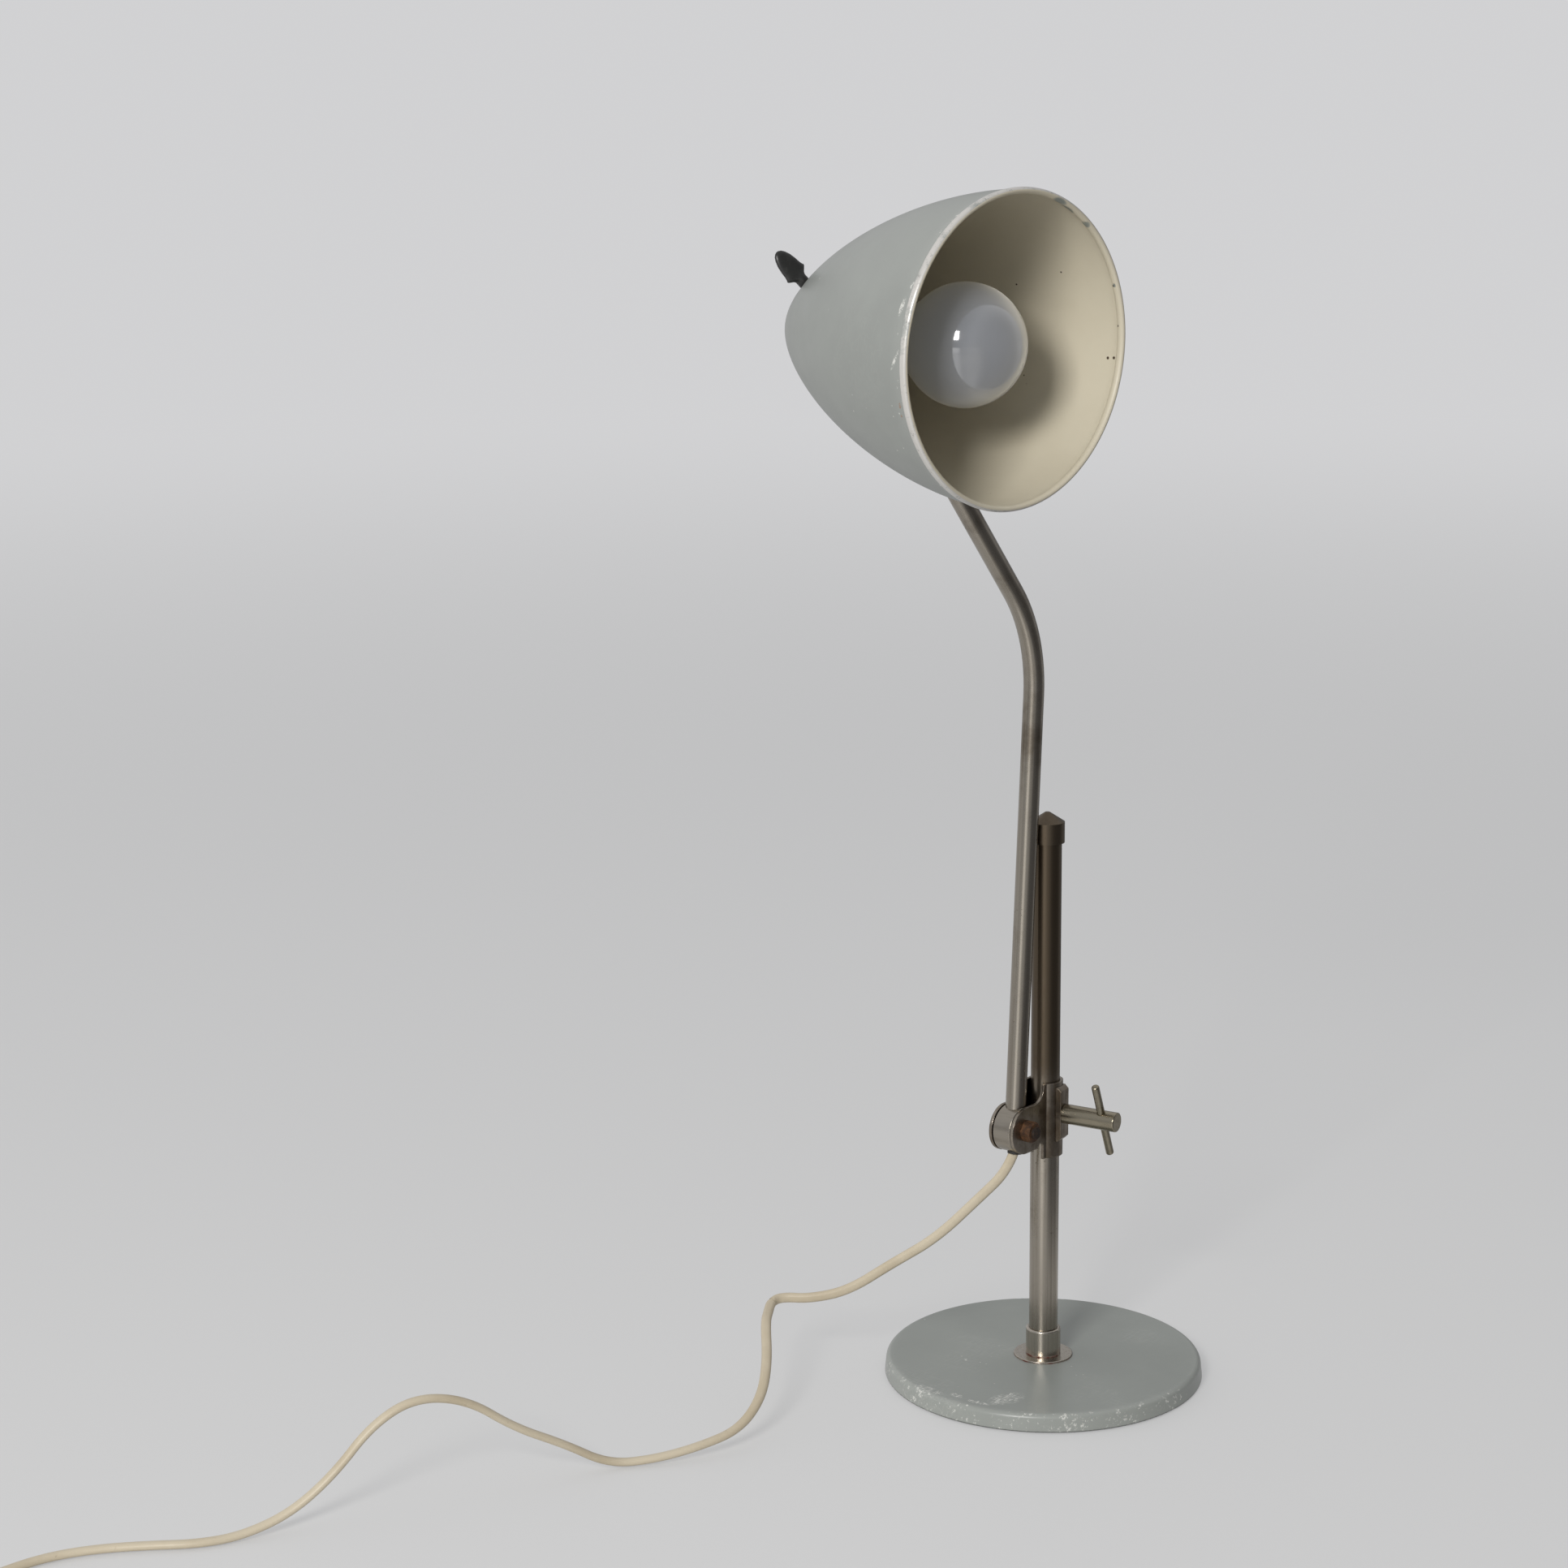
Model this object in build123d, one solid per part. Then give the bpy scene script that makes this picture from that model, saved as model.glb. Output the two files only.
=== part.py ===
from build123d import *
import math
import os

# Adjustable desk lamp: a disc base, a round post, a clamp that slides and turns on it,
# an arm hinged in the clamp, and a bell shade that swivels and tilts on the arm's end.
# Millimetres. Origin at the middle of the base's underside, Z up.
# X runs from the post towards the hinge drum, and Y along the hinge bolt.

# Clearances that all pieces share
overrun = 2.0  # how far a cut reaches past the face that it opens
running_gap = 0.06  # radial gap of a pin, screw or post that turns in its hole
seat_gap = 0.03  # gap of pieces that are pressed, brazed or screwed together
face_gap = 0.25  # gap between faces that slide past each other

# Base
base_diameter = 163.0
base_height = 9.4
base_side_taper = 0.9
base_edge_round = 2.6
base_foot_gap = 0.4
base_foot_round = 0.5
felt_thickness = 1.4
felt_inset = 4.0
bolt_diameter = 8.0
bolt_head_across = 13.0
bolt_head_height = 3.0
bolt_head_room = 0.4
bolt_washer_diameter = 17.0
bolt_washer_thickness = 1.0
bolt_pocket_diameter = 20.0
flange_diameter = 30.0
flange_thickness = 1.0
flange_edge_round = 0.4
ferrule_diameter = 17.8
ferrule_height = 14.0
ferrule_edge_round = 1.0

# Post
post_diameter = 14.7
post_wall = 1.5
post_plug_length = 22.0
post_plug_cover = 4.0
cap_diameter = 17.4
cap_foot_height = 280.3
cap_band_height = 10.4
cap_cone_height = 4.9
cap_tip_diameter = 2.4
cap_socket_depth = 7.6

# Clamp on the post
pivot_reach = 23.9
pivot_height = 136.7
pivot_side_shift = -1.6
collar_below_pivot = 18.7
collar_height = 39.0
collar_wall = 1.6
collar_gap = 0.08
collar_lip = 0.2
ear_thickness = 1.6
ear_margin = 0.2
ear_throat_radius = 7.0
ear_notch_radius = 2.3
friction_washer_diameter = 17.0
friction_washer_thickness = 0.5
hinge_bolt_diameter = 6.0
hinge_bolt_head_across = 10.0
hinge_bolt_head_height = 4.0
hinge_nut_across = 10.0
hinge_nut_height = 5.0
hinge_nut_chamfer = 0.7
hinge_bolt_tail = 1.6

# Toggle screw that locks the clamp
toggle_turn_from_hinge = 8.0  # degrees round the post, away from the drum
toggle_above_pivot = 3.8
toggle_nose_diameter = 8.0
toggle_shank_diameter = 10.0
toggle_reach = 40.6
toggle_edge_round = 0.6
boss_thickness = 2.1
boss_width = 8.4
boss_height = 28.5
boss_chamfer = 2.0
bar_diameter = 4.0
bar_length = 44.0
bar_reach = 32.5
bar_lean = 24.0  # degrees from upright
bar_end_round = 1.0

# Hinge drum
drum_diameter = 23.4
drum_length = 10.4
drum_wall = 1.8
drum_floor = 1.2
drum_hub_diameter = 10.0
drum_edge_round = 0.5
drum_cable_hole = 6.4
outlet_turn = 10.0  # degrees from straight down, towards the drum's far side
outlet_side_shift = 1.6
outlet_diameter = 7.4
outlet_bore = 5.2
outlet_stand = 0.8

# Arm
arm_diameter = 10.3
arm_wall = 1.0
arm_cap_gap = 0.51  # between the arm, which leans up to the post, and the post's cap
arm_lower_length = 250.0
arm_rise = 40.4  # degrees from upright, away from the post
arm_upper_length = 144.8
arm_bend_radius = 75.0
flex_diameter = 4.4

# Swivel knuckle at the arm's end
knuckle_diameter = 13.0
knuckle_shoulder = 3.0
knuckle_neck = 14.0
knuckle_stub = 14.0
knuckle_tongue_width = 10.0
knuckle_tongue_thickness = 5.0
knuckle_eye_diameter = 12.0
knuckle_bore = 5.0
knuckle_groove_depth = 0.9
sleeve_length = 12.8
grub_diameter = 3.0

# Shade head
shade_turn = 7.2  # degrees that the shade's mouth faces from the hinge axis, about Z
shade_dip = 2.0  # degrees that the mouth faces below level
shade_mouth_radius = 69.0
shade_depth = 142.5
shade_wall = 1.0
shade_fullness = 1.67  # exponent along the depth
shade_bluntness = 1.39  # root of what is left
shade_profile_shares = (0.16, 0.32, 0.48, 0.64, 0.78, 0.90, 0.97)
hem_radius = 1.5
hem_sink = 0.7

# Fork on the shade's outside
fork_plate_thickness = 2.5
fork_plate_ahead = 12.0  # from the tilt joint to the plate's end towards the mouth
fork_plate_behind = 16.0
fork_plate_width = 16.0
fork_plate_room = 0.5  # between the plate's underside and the bell where it is widest
fork_pin_rise = 10.5  # from the plate's underside out to the tilt pin
fork_ear_thickness = 2.0
fork_edge_round = 2.0
tilt_screw_diameter = 4.0
tilt_head_diameter = 8.0
tilt_head_height = 2.8
tilt_slot_width = 1.0
tilt_slot_depth = 1.2
tilt_nut_across = 7.0
tilt_nut_height = 3.2
tilt_washer_diameter = 8.4
tilt_washer_thickness = 0.8
fork_screw_spacing = 9.4
fork_screw_back = 10.0  # behind the tilt joint
fork_screw_diameter = 3.2
fork_screw_head_diameter = 5.6
fork_screw_head_height = 2.2
fork_screw_length = 20.0

# Lampholder
holder_apex_room = 14.5  # from the lampholder's end to the bell's apex
joint_ahead = 12.0  # from the seam of the lampholder forward to the tilt joint
holder_diameter = 38.0
holder_bore = 29.0
holder_lip_round = 1.5
holder_cap_length = 20.0
holder_cap_end_diameter = 24.0
holder_cap_wall = 2.5
holder_ring_wall = 2.5
holder_ring_length = 20.0
holder_lug_width = 15.6
holder_lug_length = 12.0
holder_lug_gap = 0.15
socket_shell_diameter = 28.2
socket_shell_wall = 0.5
socket_shell_length = 23.0
socket_ring_height = 2.5
socket_base_thickness = 3.6
socket_seam_room = 2.9  # from the socket base back to the seam of the lampholder
contact_diameter = 7.0
contact_thickness = 0.5
contact_gap = 0.2
contact_rivet_diameter = 3.0
switch_block_diameter = 22.0
switch_block_length = 12.0
terminal_spacing = 11.0
terminal_diameter = 4.0
terminal_height = 2.0
lead_entry_room = 5.0
lead_ring_room = 5.5
lead_bend_radius = 6.0
lead_room = 0.3

# Switch key
key_behind_seam = 8.0
key_lean = 20.0  # degrees that the stem leans back from square to the shade's axis
key_stem_diameter = 5.6
key_stem_out = 4.4
key_stem_in = 22.0
key_wing_length = 14.6
key_wing_thickness = 3.6
key_wing_half_width = 4.5
key_shoulder_half_width = 5.0
key_neck_share = 0.10
key_flank_share = 0.34
key_lens_share = 1.15
key_slot_length = 15.0
key_slot_width = 8.6
key_slot_shift = 2.2

# Bulb
bulb_radius = 27.5
bulb_wall = 0.8
bulb_globe_sweep = 122.0  # degrees of globe from the front to where the neck begins
bulb_neck_radius = 13.4
bulb_neck_length = 40.6  # from the globe's centre to the cap
bulb_cap_length = 23.0
bulb_cap_root_radius = 12.2
bulb_cap_crest_radius = 13.1
bulb_cap_wall = 0.5
bulb_cap_threads = 6
bulb_insulator_length = 2.6
bulb_tip_diameter = 9.6
bulb_tip_length = 2.2
bulb_stem_diameter = 8.0
bulb_stem_length = 24.0
bulb_stem_flare_length = 2.4
bulb_wire_diameter = 0.8
bulb_wire_spread = 9.0
bulb_wire_rise = 12.0

# Cord
cord_diameter = 4.6
cord_start = 10.26  # from the hinge axis, inside the outlet
cord_outlet_run = 13.2  # straight run out of the outlet
corner_share = 0.45  # part of a straight run that one corner's arc may take
coil_turn_step = 5.3  # how far one turn lies inside the last
coil_outer_radius = 34.5
coil_layer_step = 5.2
coil_half_turns_in = 6
coil_half_turns_out = 5
coil_start_x = 535.0
coil_start_y = -222.0
coil_tail = 27.0
tie_thickness = 0.8
tie_width = 6.0
tie_room = 0.1
tie_slack = 0.4

# Plug
plug_neck_length = 25.0
plug_neck_diameter = 9.0
plug_neck_end_diameter = 12.6
plug_body_length = 33.0
plug_body_width = 30.0
plug_edge_round = 5.0
plug_pin_spacing = 19.0
plug_pin_diameter = 4.0
plug_pin_length = 19.0
plug_pin_socket = 6.0

# Route of the hanging cord below the drum, to just after its sharp bend in the air
hanging_route = [
    (35.5, -14.5, 94.5),
    (46.5, -34.0, 74.0),
    (57.6, -54.2, 58.2),
    (68.5, -73.5, 47.4),
    (78.4, -91.0, 42.4),
    (85.4, -103.6, 40.6),
    (92.4, -105.2, 40.0),
    (102.0, -99.0, 39.0),
]
# Route from there down to the table, over one standing bow and out to the coil
table_route = [
    (102.0, -99.0, 39.0),
    (111.6, -92.8, 38.0),
    (133.0, -73.5, 28.4),
    (153.5, -60.2, 19.0),
    (174.0, -57.2, 11.4),
    (194.0, -64.6, 6.0),
    (213.0, -76.8, 3.2),
    (231.0, -91.0, 2.4),
    (251.0, -100.6, 11.5),
    (274.0, -111.0, 35.0),
    (295.0, -121.0, 53.0),
    (318.0, -132.0, 56.5),
    (337.5, -141.0, 44.5),
    (354.0, -149.0, 22.5),
    (373.0, -158.0, 7.8),
    (394.0, -167.5, 2.5),
    (413.0, -176.5, 2.4),
    (429.0, -193.8, 2.4),
    (447.0, -209.5, 2.4),
    (466.0, -219.6, 2.4),
    (487.0, -222.9, 2.6),
    (508.0, -222.0, 3.3),
    (530.4, -222.0, 3.3),
]


# Outline of the bell
def shade_radius_at(depth, inset):
    """Radius of the shade's outside, or of a surface inset from it, at a depth behind the mouth."""
    share = min(max(depth / (shade_depth - inset), 0), 1)
    return (shade_mouth_radius - inset) * (1 - share**shade_fullness) ** (1 / shade_bluntness)


# Heights and radii that follow from the sizes above
bolt_pocket_roof = felt_thickness + bolt_head_room + bolt_head_height + bolt_washer_thickness
post_foot = base_height + flange_thickness
post_top = cap_foot_height + cap_socket_depth
post_radius = post_diameter / 2
collar_bore_radius = post_radius + collar_gap
collar_radius = collar_bore_radius + collar_wall
collar_foot_height = pivot_height - collar_below_pivot
collar_top = collar_foot_height + collar_height
toggle_height = pivot_height + toggle_above_pivot
drum_radius = drum_diameter / 2
drum_half = drum_length / 2
ear_inner = drum_half + friction_washer_thickness
ear_outer = ear_inner + ear_thickness
arm_radius = arm_diameter / 2
arm_bore_radius = arm_radius - arm_wall
flex_radius = flex_diameter / 2
cord_radius = cord_diameter / 2
coil_low = tie_thickness + tie_room + cord_radius + tie_room
coil_high = coil_low + coil_layer_step
coil_inner_radius = coil_outer_radius - coil_half_turns_in * coil_turn_step / 2
holder_radius = holder_diameter / 2

# Depths behind the shade's mouth: the lampholder sits in the bell's back, and the rest follows from it
holder_end_depth = shade_depth - holder_apex_room
holder_cap_depth = holder_end_depth - holder_cap_length
socket_base_depth = holder_cap_depth - socket_seam_room - socket_base_thickness
socket_shell_end = socket_base_depth - socket_ring_height
socket_shell_depth = socket_shell_end - socket_shell_length
bulb_end_depth = socket_base_depth - contact_thickness - contact_gap
bulb_cap_end_depth = bulb_end_depth - bulb_tip_length - bulb_insulator_length
bulb_neck_depth = bulb_cap_end_depth - bulb_cap_length
bulb_centre_depth = bulb_neck_depth - bulb_neck_length
lead_entry_depth = holder_cap_depth + lead_entry_room
key_depth = holder_cap_depth + key_behind_seam
joint_depth = holder_cap_depth - joint_ahead

# Distances from the shade's axis
lead_drop_offset = holder_radius + holder_ring_wall + lead_ring_room
fork_plate_level = shade_radius_at(joint_depth - fork_plate_ahead, 0) + fork_plate_room
joint_offset = fork_plate_level + fork_pin_rise

# Directions and places of the arm and the shade
pivot = Vector(pivot_reach, pivot_side_shift, pivot_height)
cap_edge_reach = pivot_reach - cap_diameter / 2
cap_edge_rise = cap_foot_height + cap_band_height - pivot_height
cap_edge_distance = math.hypot(cap_edge_reach, cap_edge_rise)
cap_edge_angle = math.atan2(cap_edge_reach, cap_edge_rise)
arm_lean = cap_edge_angle - math.asin((arm_radius + arm_cap_gap) / cap_edge_distance)
arm_low_way = Vector(-math.sin(arm_lean), 0, math.cos(arm_lean))
arm_high_way = Vector(math.sin(math.radians(arm_rise)), 0, math.cos(math.radians(arm_rise)))
arm_bend = pivot + arm_low_way * arm_lower_length
tilt_pin = arm_bend + arm_high_way * arm_upper_length
mouth_way = Vector(
    math.sin(math.radians(shade_turn)) * math.cos(math.radians(shade_dip)),
    math.cos(math.radians(shade_turn)) * math.cos(math.radians(shade_dip)),
    -math.sin(math.radians(shade_dip)),
)
to_axis = (arm_high_way - mouth_way * arm_high_way.dot(mouth_way)).normalized()
mouth_centre = tilt_pin + to_axis * joint_offset + mouth_way * joint_depth
# In the shade's own frame the mouth is at the origin, Z looks out of it and X points at the tilt pin
shade_place = Plane(origin=mouth_centre, x_dir=to_axis * -1, z_dir=mouth_way).location
tilt_axis = mouth_way.cross(to_axis * -1)
knuckle_place = Plane(origin=tilt_pin, x_dir=tilt_axis, z_dir=arm_high_way).location
hinge_place = Plane(origin=pivot, x_dir=(1, 0, 0), z_dir=(0, 1, 0)).location
toggle_angle = math.radians(toggle_turn_from_hinge)
toggle_way = Vector(-math.sin(toggle_angle), math.cos(toggle_angle), 0)
toggle_place = Plane(origin=(0, 0, toggle_height), x_dir=(0, 0, 1), z_dir=toggle_way).location


def rod(radius, low, high):
    """Round bar on local Z from low to high."""
    return Pos(0, 0, (low + high) / 2) * Cylinder(radius, high - low)


def pipe(radius, bore, low, high):
    """Round bar with a bore right through."""
    return rod(radius, low, high) - rod(bore, low - overrun, high + overrun)


def slab(x0, x1, y0, y1, z0, z1):
    """Square block between two corners."""
    return Pos((x0 + x1) / 2, (y0 + y1) / 2, (z0 + z1) / 2) * Box(x1 - x0, y1 - y0, z1 - z0)


def hex_rod(across, low, high):
    """Hexagonal bar on local Z, by its size across the flats."""
    outline = RegularPolygon(across / 2, side_count=6, major_radius=False)
    return Pos(0, 0, low) * extrude(outline, amount=high - low)


def across_x(shape):
    """Turns a shape on local Z to lie along local X."""
    return Rot(0, 90, 0) * shape


def across_y(shape):
    """Turns a shape on local Z to lie along local Y."""
    return Rot(-90, 0, 0) * shape


def turned(points):
    """Solid turned about Z from an outline of (radius, height) points that starts and ends on the axis."""
    outline = Polyline([(r, 0, z) for r, z in points], close=True)
    return revolve(make_face(outline), Axis.Z)


def tube_along(path, radius):
    """Round tube swept along a path, square to its start."""
    return sweep(Plane(origin=path @ 0, z_dir=path % 0) * Circle(radius), path=path)


# Base and post
def base_disc():
    """Cast disc with a tapered side, a felt recess and a pocket for the post's bolt."""
    radius = base_diameter / 2
    height = base_height - base_foot_gap
    disc = Pos(0, 0, base_foot_gap + height / 2) * Cone(radius, radius - base_side_taper, height)
    disc = fillet(disc.edges().sort_by(Axis.Z)[-1], base_edge_round)
    disc = fillet(disc.edges().sort_by(Axis.Z)[0], base_foot_round)
    disc -= rod(radius - felt_inset + seat_gap, base_foot_gap - overrun, felt_thickness)
    disc -= rod(bolt_pocket_diameter / 2, base_foot_gap, bolt_pocket_roof)
    return disc - rod(bolt_diameter / 2 + running_gap, 0, base_height + overrun)


def base_felt():
    """Felt pad that the lamp stands on."""
    return rod(base_diameter / 2 - felt_inset, 0, felt_thickness)


def base_bolt():
    """Hexagon bolt that holds the post from below."""
    head_top = bolt_pocket_roof - bolt_washer_thickness
    head = hex_rod(bolt_head_across, head_top - bolt_head_height, head_top)
    return head + rod(bolt_diameter / 2, head_top, post_foot + post_plug_length - post_plug_cover)


def base_washer():
    """Washer between the bolt's head and the disc."""
    bore = bolt_diameter / 2 + running_gap
    return pipe(bolt_washer_diameter / 2, bore, bolt_pocket_roof - bolt_washer_thickness, bolt_pocket_roof)


def flange_washer():
    """Thin bright rosette between the disc and the post."""
    plate = rod(flange_diameter / 2, base_height, post_foot)
    plate = fillet(plate.edges().sort_by(Axis.Z)[-1], flange_edge_round)
    return plate - rod(bolt_diameter / 2 + running_gap, 0, post_foot + overrun)


def post_ferrule():
    """Bright sleeve round the foot of the post."""
    top = post_foot + ferrule_height
    sleeve = rod(ferrule_diameter / 2, post_foot, top)
    sleeve = fillet(sleeve.edges().sort_by(Axis.Z)[-1], ferrule_edge_round)
    return sleeve - rod(post_radius + running_gap, post_foot - overrun, top + overrun)


def post_tube():
    """Upright tube."""
    return pipe(post_radius, post_radius - post_wall, post_foot, post_top)


def post_plug():
    """Solid foot inside the post, bored for the base bolt."""
    plug = rod(post_radius - post_wall - seat_gap, post_foot, post_foot + post_plug_length)
    return plug - rod(bolt_diameter / 2 + running_gap, 0, post_foot + post_plug_length + overrun)


def post_cap():
    """Cap with a plain band and a low cone on top."""
    band_top = cap_foot_height + cap_band_height
    tip = band_top + cap_cone_height
    cap = turned([
        (0, cap_foot_height),
        (cap_diameter / 2, cap_foot_height),
        (cap_diameter / 2, band_top),
        (cap_tip_diameter / 2, tip),
        (0, tip),
    ])
    return cap - rod(post_radius + seat_gap, cap_foot_height - overrun, post_top + seat_gap)


# Clamp
def ear_outline():
    """Side view of one clamp ear: round at the drum, hollowed up to the collar, notched below."""
    reach = drum_radius + ear_margin
    lip = collar_radius + collar_lip
    collar_side = Pos(lip / 2, collar_foot_height + collar_height / 2) * Rectangle(lip, collar_height)
    web = Pos(pivot_reach / 2, pivot_height) * Rectangle(pivot_reach, reach * 2)
    outline = collar_side + web + Pos(pivot_reach, pivot_height) * Circle(reach)
    throat = outline.vertices().sort_by_distance((lip, pivot_height + reach, 0))[0]
    outline = fillet(throat, ear_throat_radius)
    notch = Pos(lip + ear_notch_radius, pivot_height - reach) * Circle(ear_notch_radius)
    return outline - notch


def clamp_ear(inner, outer):
    """One ear, standing between two distances along Y from the drum's middle."""
    back = Plane(origin=(0, pivot_side_shift + outer, 0), x_dir=(1, 0, 0), z_dir=(0, -1, 0)).location
    return back * extrude(ear_outline(), amount=outer - inner)


def clamp_strap():
    """Strap bent round the post, with two ears that hold the hinge drum."""
    collar = rod(collar_radius, collar_foot_height, collar_top)
    mouth_low = pivot_side_shift - ear_inner
    mouth_high = pivot_side_shift + ear_inner
    span = pivot_reach + drum_diameter
    mouth = slab(0, span, mouth_low, mouth_high, collar_foot_height - overrun, collar_top + overrun)
    strap = collar - mouth + clamp_ear(ear_inner, ear_outer) + clamp_ear(-ear_outer, -ear_inner)
    strap -= rod(collar_bore_radius, collar_foot_height - overrun, collar_top + overrun)
    bolt_hole = rod(hinge_bolt_diameter / 2 + seat_gap, -ear_outer - overrun, ear_outer + overrun)
    screw_hole = rod(toggle_nose_diameter / 2 + running_gap, 0, collar_radius + overrun)
    return strap - hinge_place * bolt_hole - toggle_place * screw_hole


def clamp_boss():
    """Threaded plate on the collar's side, with sloped ends, that takes the toggle screw."""
    outer = collar_radius + boss_thickness
    plate = slab(-boss_height / 2, boss_height / 2, -boss_width / 2, boss_width / 2, 0, outer)
    ends = plate.faces().sort_by(Axis.Z)[-1].edges().filter_by(Axis.Y)
    plate = chamfer(ends, boss_chamfer)
    plate -= across_x(rod(collar_radius + seat_gap, -boss_height, boss_height))
    screw_hole = rod(toggle_nose_diameter / 2 + running_gap, 0, outer + overrun)
    plate -= screw_hole
    kept = slab(-boss_height, boss_height, -boss_width, boss_width, collar_bore_radius, outer + overrun)
    return toggle_place * (plate & kept)


def friction_washers():
    """Fibre washers on both sides of the drum."""
    washers = []
    for low in (drum_half, -ear_inner):
        ring = pipe(
            friction_washer_diameter / 2,
            hinge_bolt_diameter / 2 + running_gap,
            low,
            low + friction_washer_thickness,
        )
        washers.append(hinge_place * ring)
    return Compound(washers)


def hinge_bolt():
    """Bolt through the ears and the drum, with its head behind."""
    head = hex_rod(hinge_bolt_head_across, -ear_outer - hinge_bolt_head_height, -ear_outer)
    shank = rod(hinge_bolt_diameter / 2, -ear_outer, ear_outer + hinge_nut_height + hinge_bolt_tail)
    return hinge_place * (head + shank)


def hinge_nut():
    """Hexagon nut on the front ear."""
    top = ear_outer + hinge_nut_height
    nut = hex_rod(hinge_nut_across, ear_outer, top)
    round_off = Pos(0, 0, ear_outer) * Cylinder(
        hinge_nut_across / 2 + hinge_nut_chamfer / 2, hinge_nut_height * 2
    )
    round_off = chamfer(round_off.edges().sort_by(Axis.Z)[-1], hinge_nut_chamfer)
    nut = nut & round_off
    return hinge_place * (nut - rod(hinge_bolt_diameter / 2 + seat_gap, 0, top + overrun))


# Toggle screw
def toggle_screw():
    """Locking screw: threaded nose through the boss and a thick plain shank."""
    shoulder = collar_radius + boss_thickness + face_gap
    nose = rod(toggle_nose_diameter / 2, post_radius + running_gap, shoulder)
    shank = rod(toggle_shank_diameter / 2, shoulder, toggle_reach)
    shank = fillet(shank.edges().sort_by(Axis.Z)[-1], toggle_edge_round)
    hole = Pos(0, 0, bar_reach) * across_x(rod(bar_diameter / 2 + seat_gap, -bar_length, bar_length))
    return toggle_place * (nose + shank - Rot(0, 0, bar_lean) * hole)


def toggle_bar():
    """Round bar through the screw's shank."""
    bar = rod(bar_diameter / 2, -bar_length / 2, bar_length / 2)
    bar = fillet(bar.edges().filter_by(GeomType.CIRCLE), bar_end_round)
    return toggle_place * Rot(0, 0, bar_lean) * Pos(0, 0, bar_reach) * across_x(bar)


# Drum and arm
def outlet_plane():
    """Plane of the cord outlet, on the hinge axis: its normal points out of the drum."""
    turn = math.radians(outlet_turn)
    way = Vector(math.sin(turn), 0, -math.cos(turn))
    return Plane(origin=pivot + Vector(0, outlet_side_shift, 0), x_dir=(0, 1, 0), z_dir=way)


def outlet_place():
    """Frame of the cord outlet: Z points out of the drum."""
    return outlet_plane().location


def hinge_drum():
    """Cup that turns on the hinge bolt and carries the arm; the cable runs round its hub."""
    cup = rod(drum_radius, -drum_half, drum_half)
    cup = fillet(cup.edges().filter_by(GeomType.CIRCLE), drum_edge_round)
    room = pipe(
        drum_radius - drum_wall, drum_hub_diameter / 2, -drum_half - overrun, drum_half - drum_floor
    )
    lid_seat = rod(drum_radius - drum_wall, -drum_half - overrun, -drum_half + drum_floor)
    cup = cup - room - lid_seat
    cup = hinge_place * (cup - rod(hinge_bolt_diameter / 2 + running_gap, -drum_length, drum_length))
    arm_way = Plane(origin=pivot, x_dir=(0, 1, 0), z_dir=arm_low_way).location
    cup -= arm_way * rod(drum_cable_hole / 2, drum_hub_diameter / 2 + overrun, drum_diameter)
    outlet = rod(outlet_diameter / 2 + seat_gap, drum_hub_diameter / 2 + overrun, drum_diameter)
    return cup - outlet_place() * outlet


def drum_lid():
    """Disc that closes the drum's open side."""
    lid = rod(drum_radius - drum_wall - seat_gap, -drum_half, -drum_half + drum_floor - seat_gap)
    return hinge_place * (lid - rod(hinge_bolt_diameter / 2 + running_gap, -drum_length, drum_length))


def outlet_bush():
    """Bush that the cord leaves the drum through."""
    return outlet_place() * pipe(
        outlet_diameter / 2, outlet_bore / 2, drum_radius - drum_wall, drum_radius + outlet_stand
    )


def drum_flex():
    """Cable turned round the drum's hub, from below the arm to above the outlet."""
    middle = (drum_radius - drum_wall + drum_hub_diameter / 2) / 2
    ring = Torus(middle, flex_radius)
    far_side = slab(0, drum_diameter, -drum_diameter, drum_diameter, -drum_diameter, drum_diameter)
    return hinge_place * (ring & far_side)


def arm_path(start, stop):
    """Middle line of the arm, from a distance off the pivot to a distance short of the tilt pin."""
    points = [pivot + arm_low_way * start, arm_bend, tilt_pin - arm_high_way * stop]
    return FilletPolyline(*points, radius=arm_bend_radius)


def tube_end():
    """Distance from the tilt pin to the arm tube's end."""
    return knuckle_neck + knuckle_shoulder + face_gap


def arm_tube():
    """Bent tube, its foot shaped to sit on the drum."""
    path = arm_path(drum_radius - overrun, tube_end())
    tube = tube_along(path, arm_radius) - tube_along(path, arm_bore_radius)
    tube -= hinge_place * rod(drum_radius + seat_gap, -drum_diameter, drum_diameter)
    return tube - knuckle_place * grub_hole()


def arm_flex():
    """Cable inside the arm tube."""
    return tube_along(arm_path(drum_radius - drum_wall, tube_end() + knuckle_stub + overrun), flex_radius)


def grub_hole():
    """Cross hole for the grub screw, in the knuckle's frame."""
    level = -tube_end() - sleeve_length / 2
    return Pos(0, 0, level) * across_x(rod(grub_diameter / 2 + seat_gap, 0, knuckle_diameter))


def arm_sleeve():
    """Sleeve brazed round the arm tube's end."""
    ring = pipe(knuckle_diameter / 2, arm_radius + seat_gap, -tube_end() - sleeve_length, -tube_end())
    return knuckle_place * (ring - grub_hole())


def swivel_grub():
    """Grub screw that keeps the knuckle in the arm by its groove."""
    level = -tube_end() - sleeve_length / 2
    inner = arm_bore_radius - knuckle_groove_depth + face_gap
    screw = Pos(0, 0, level) * across_x(rod(grub_diameter / 2, inner, knuckle_diameter / 2))
    return knuckle_place * screw


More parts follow.
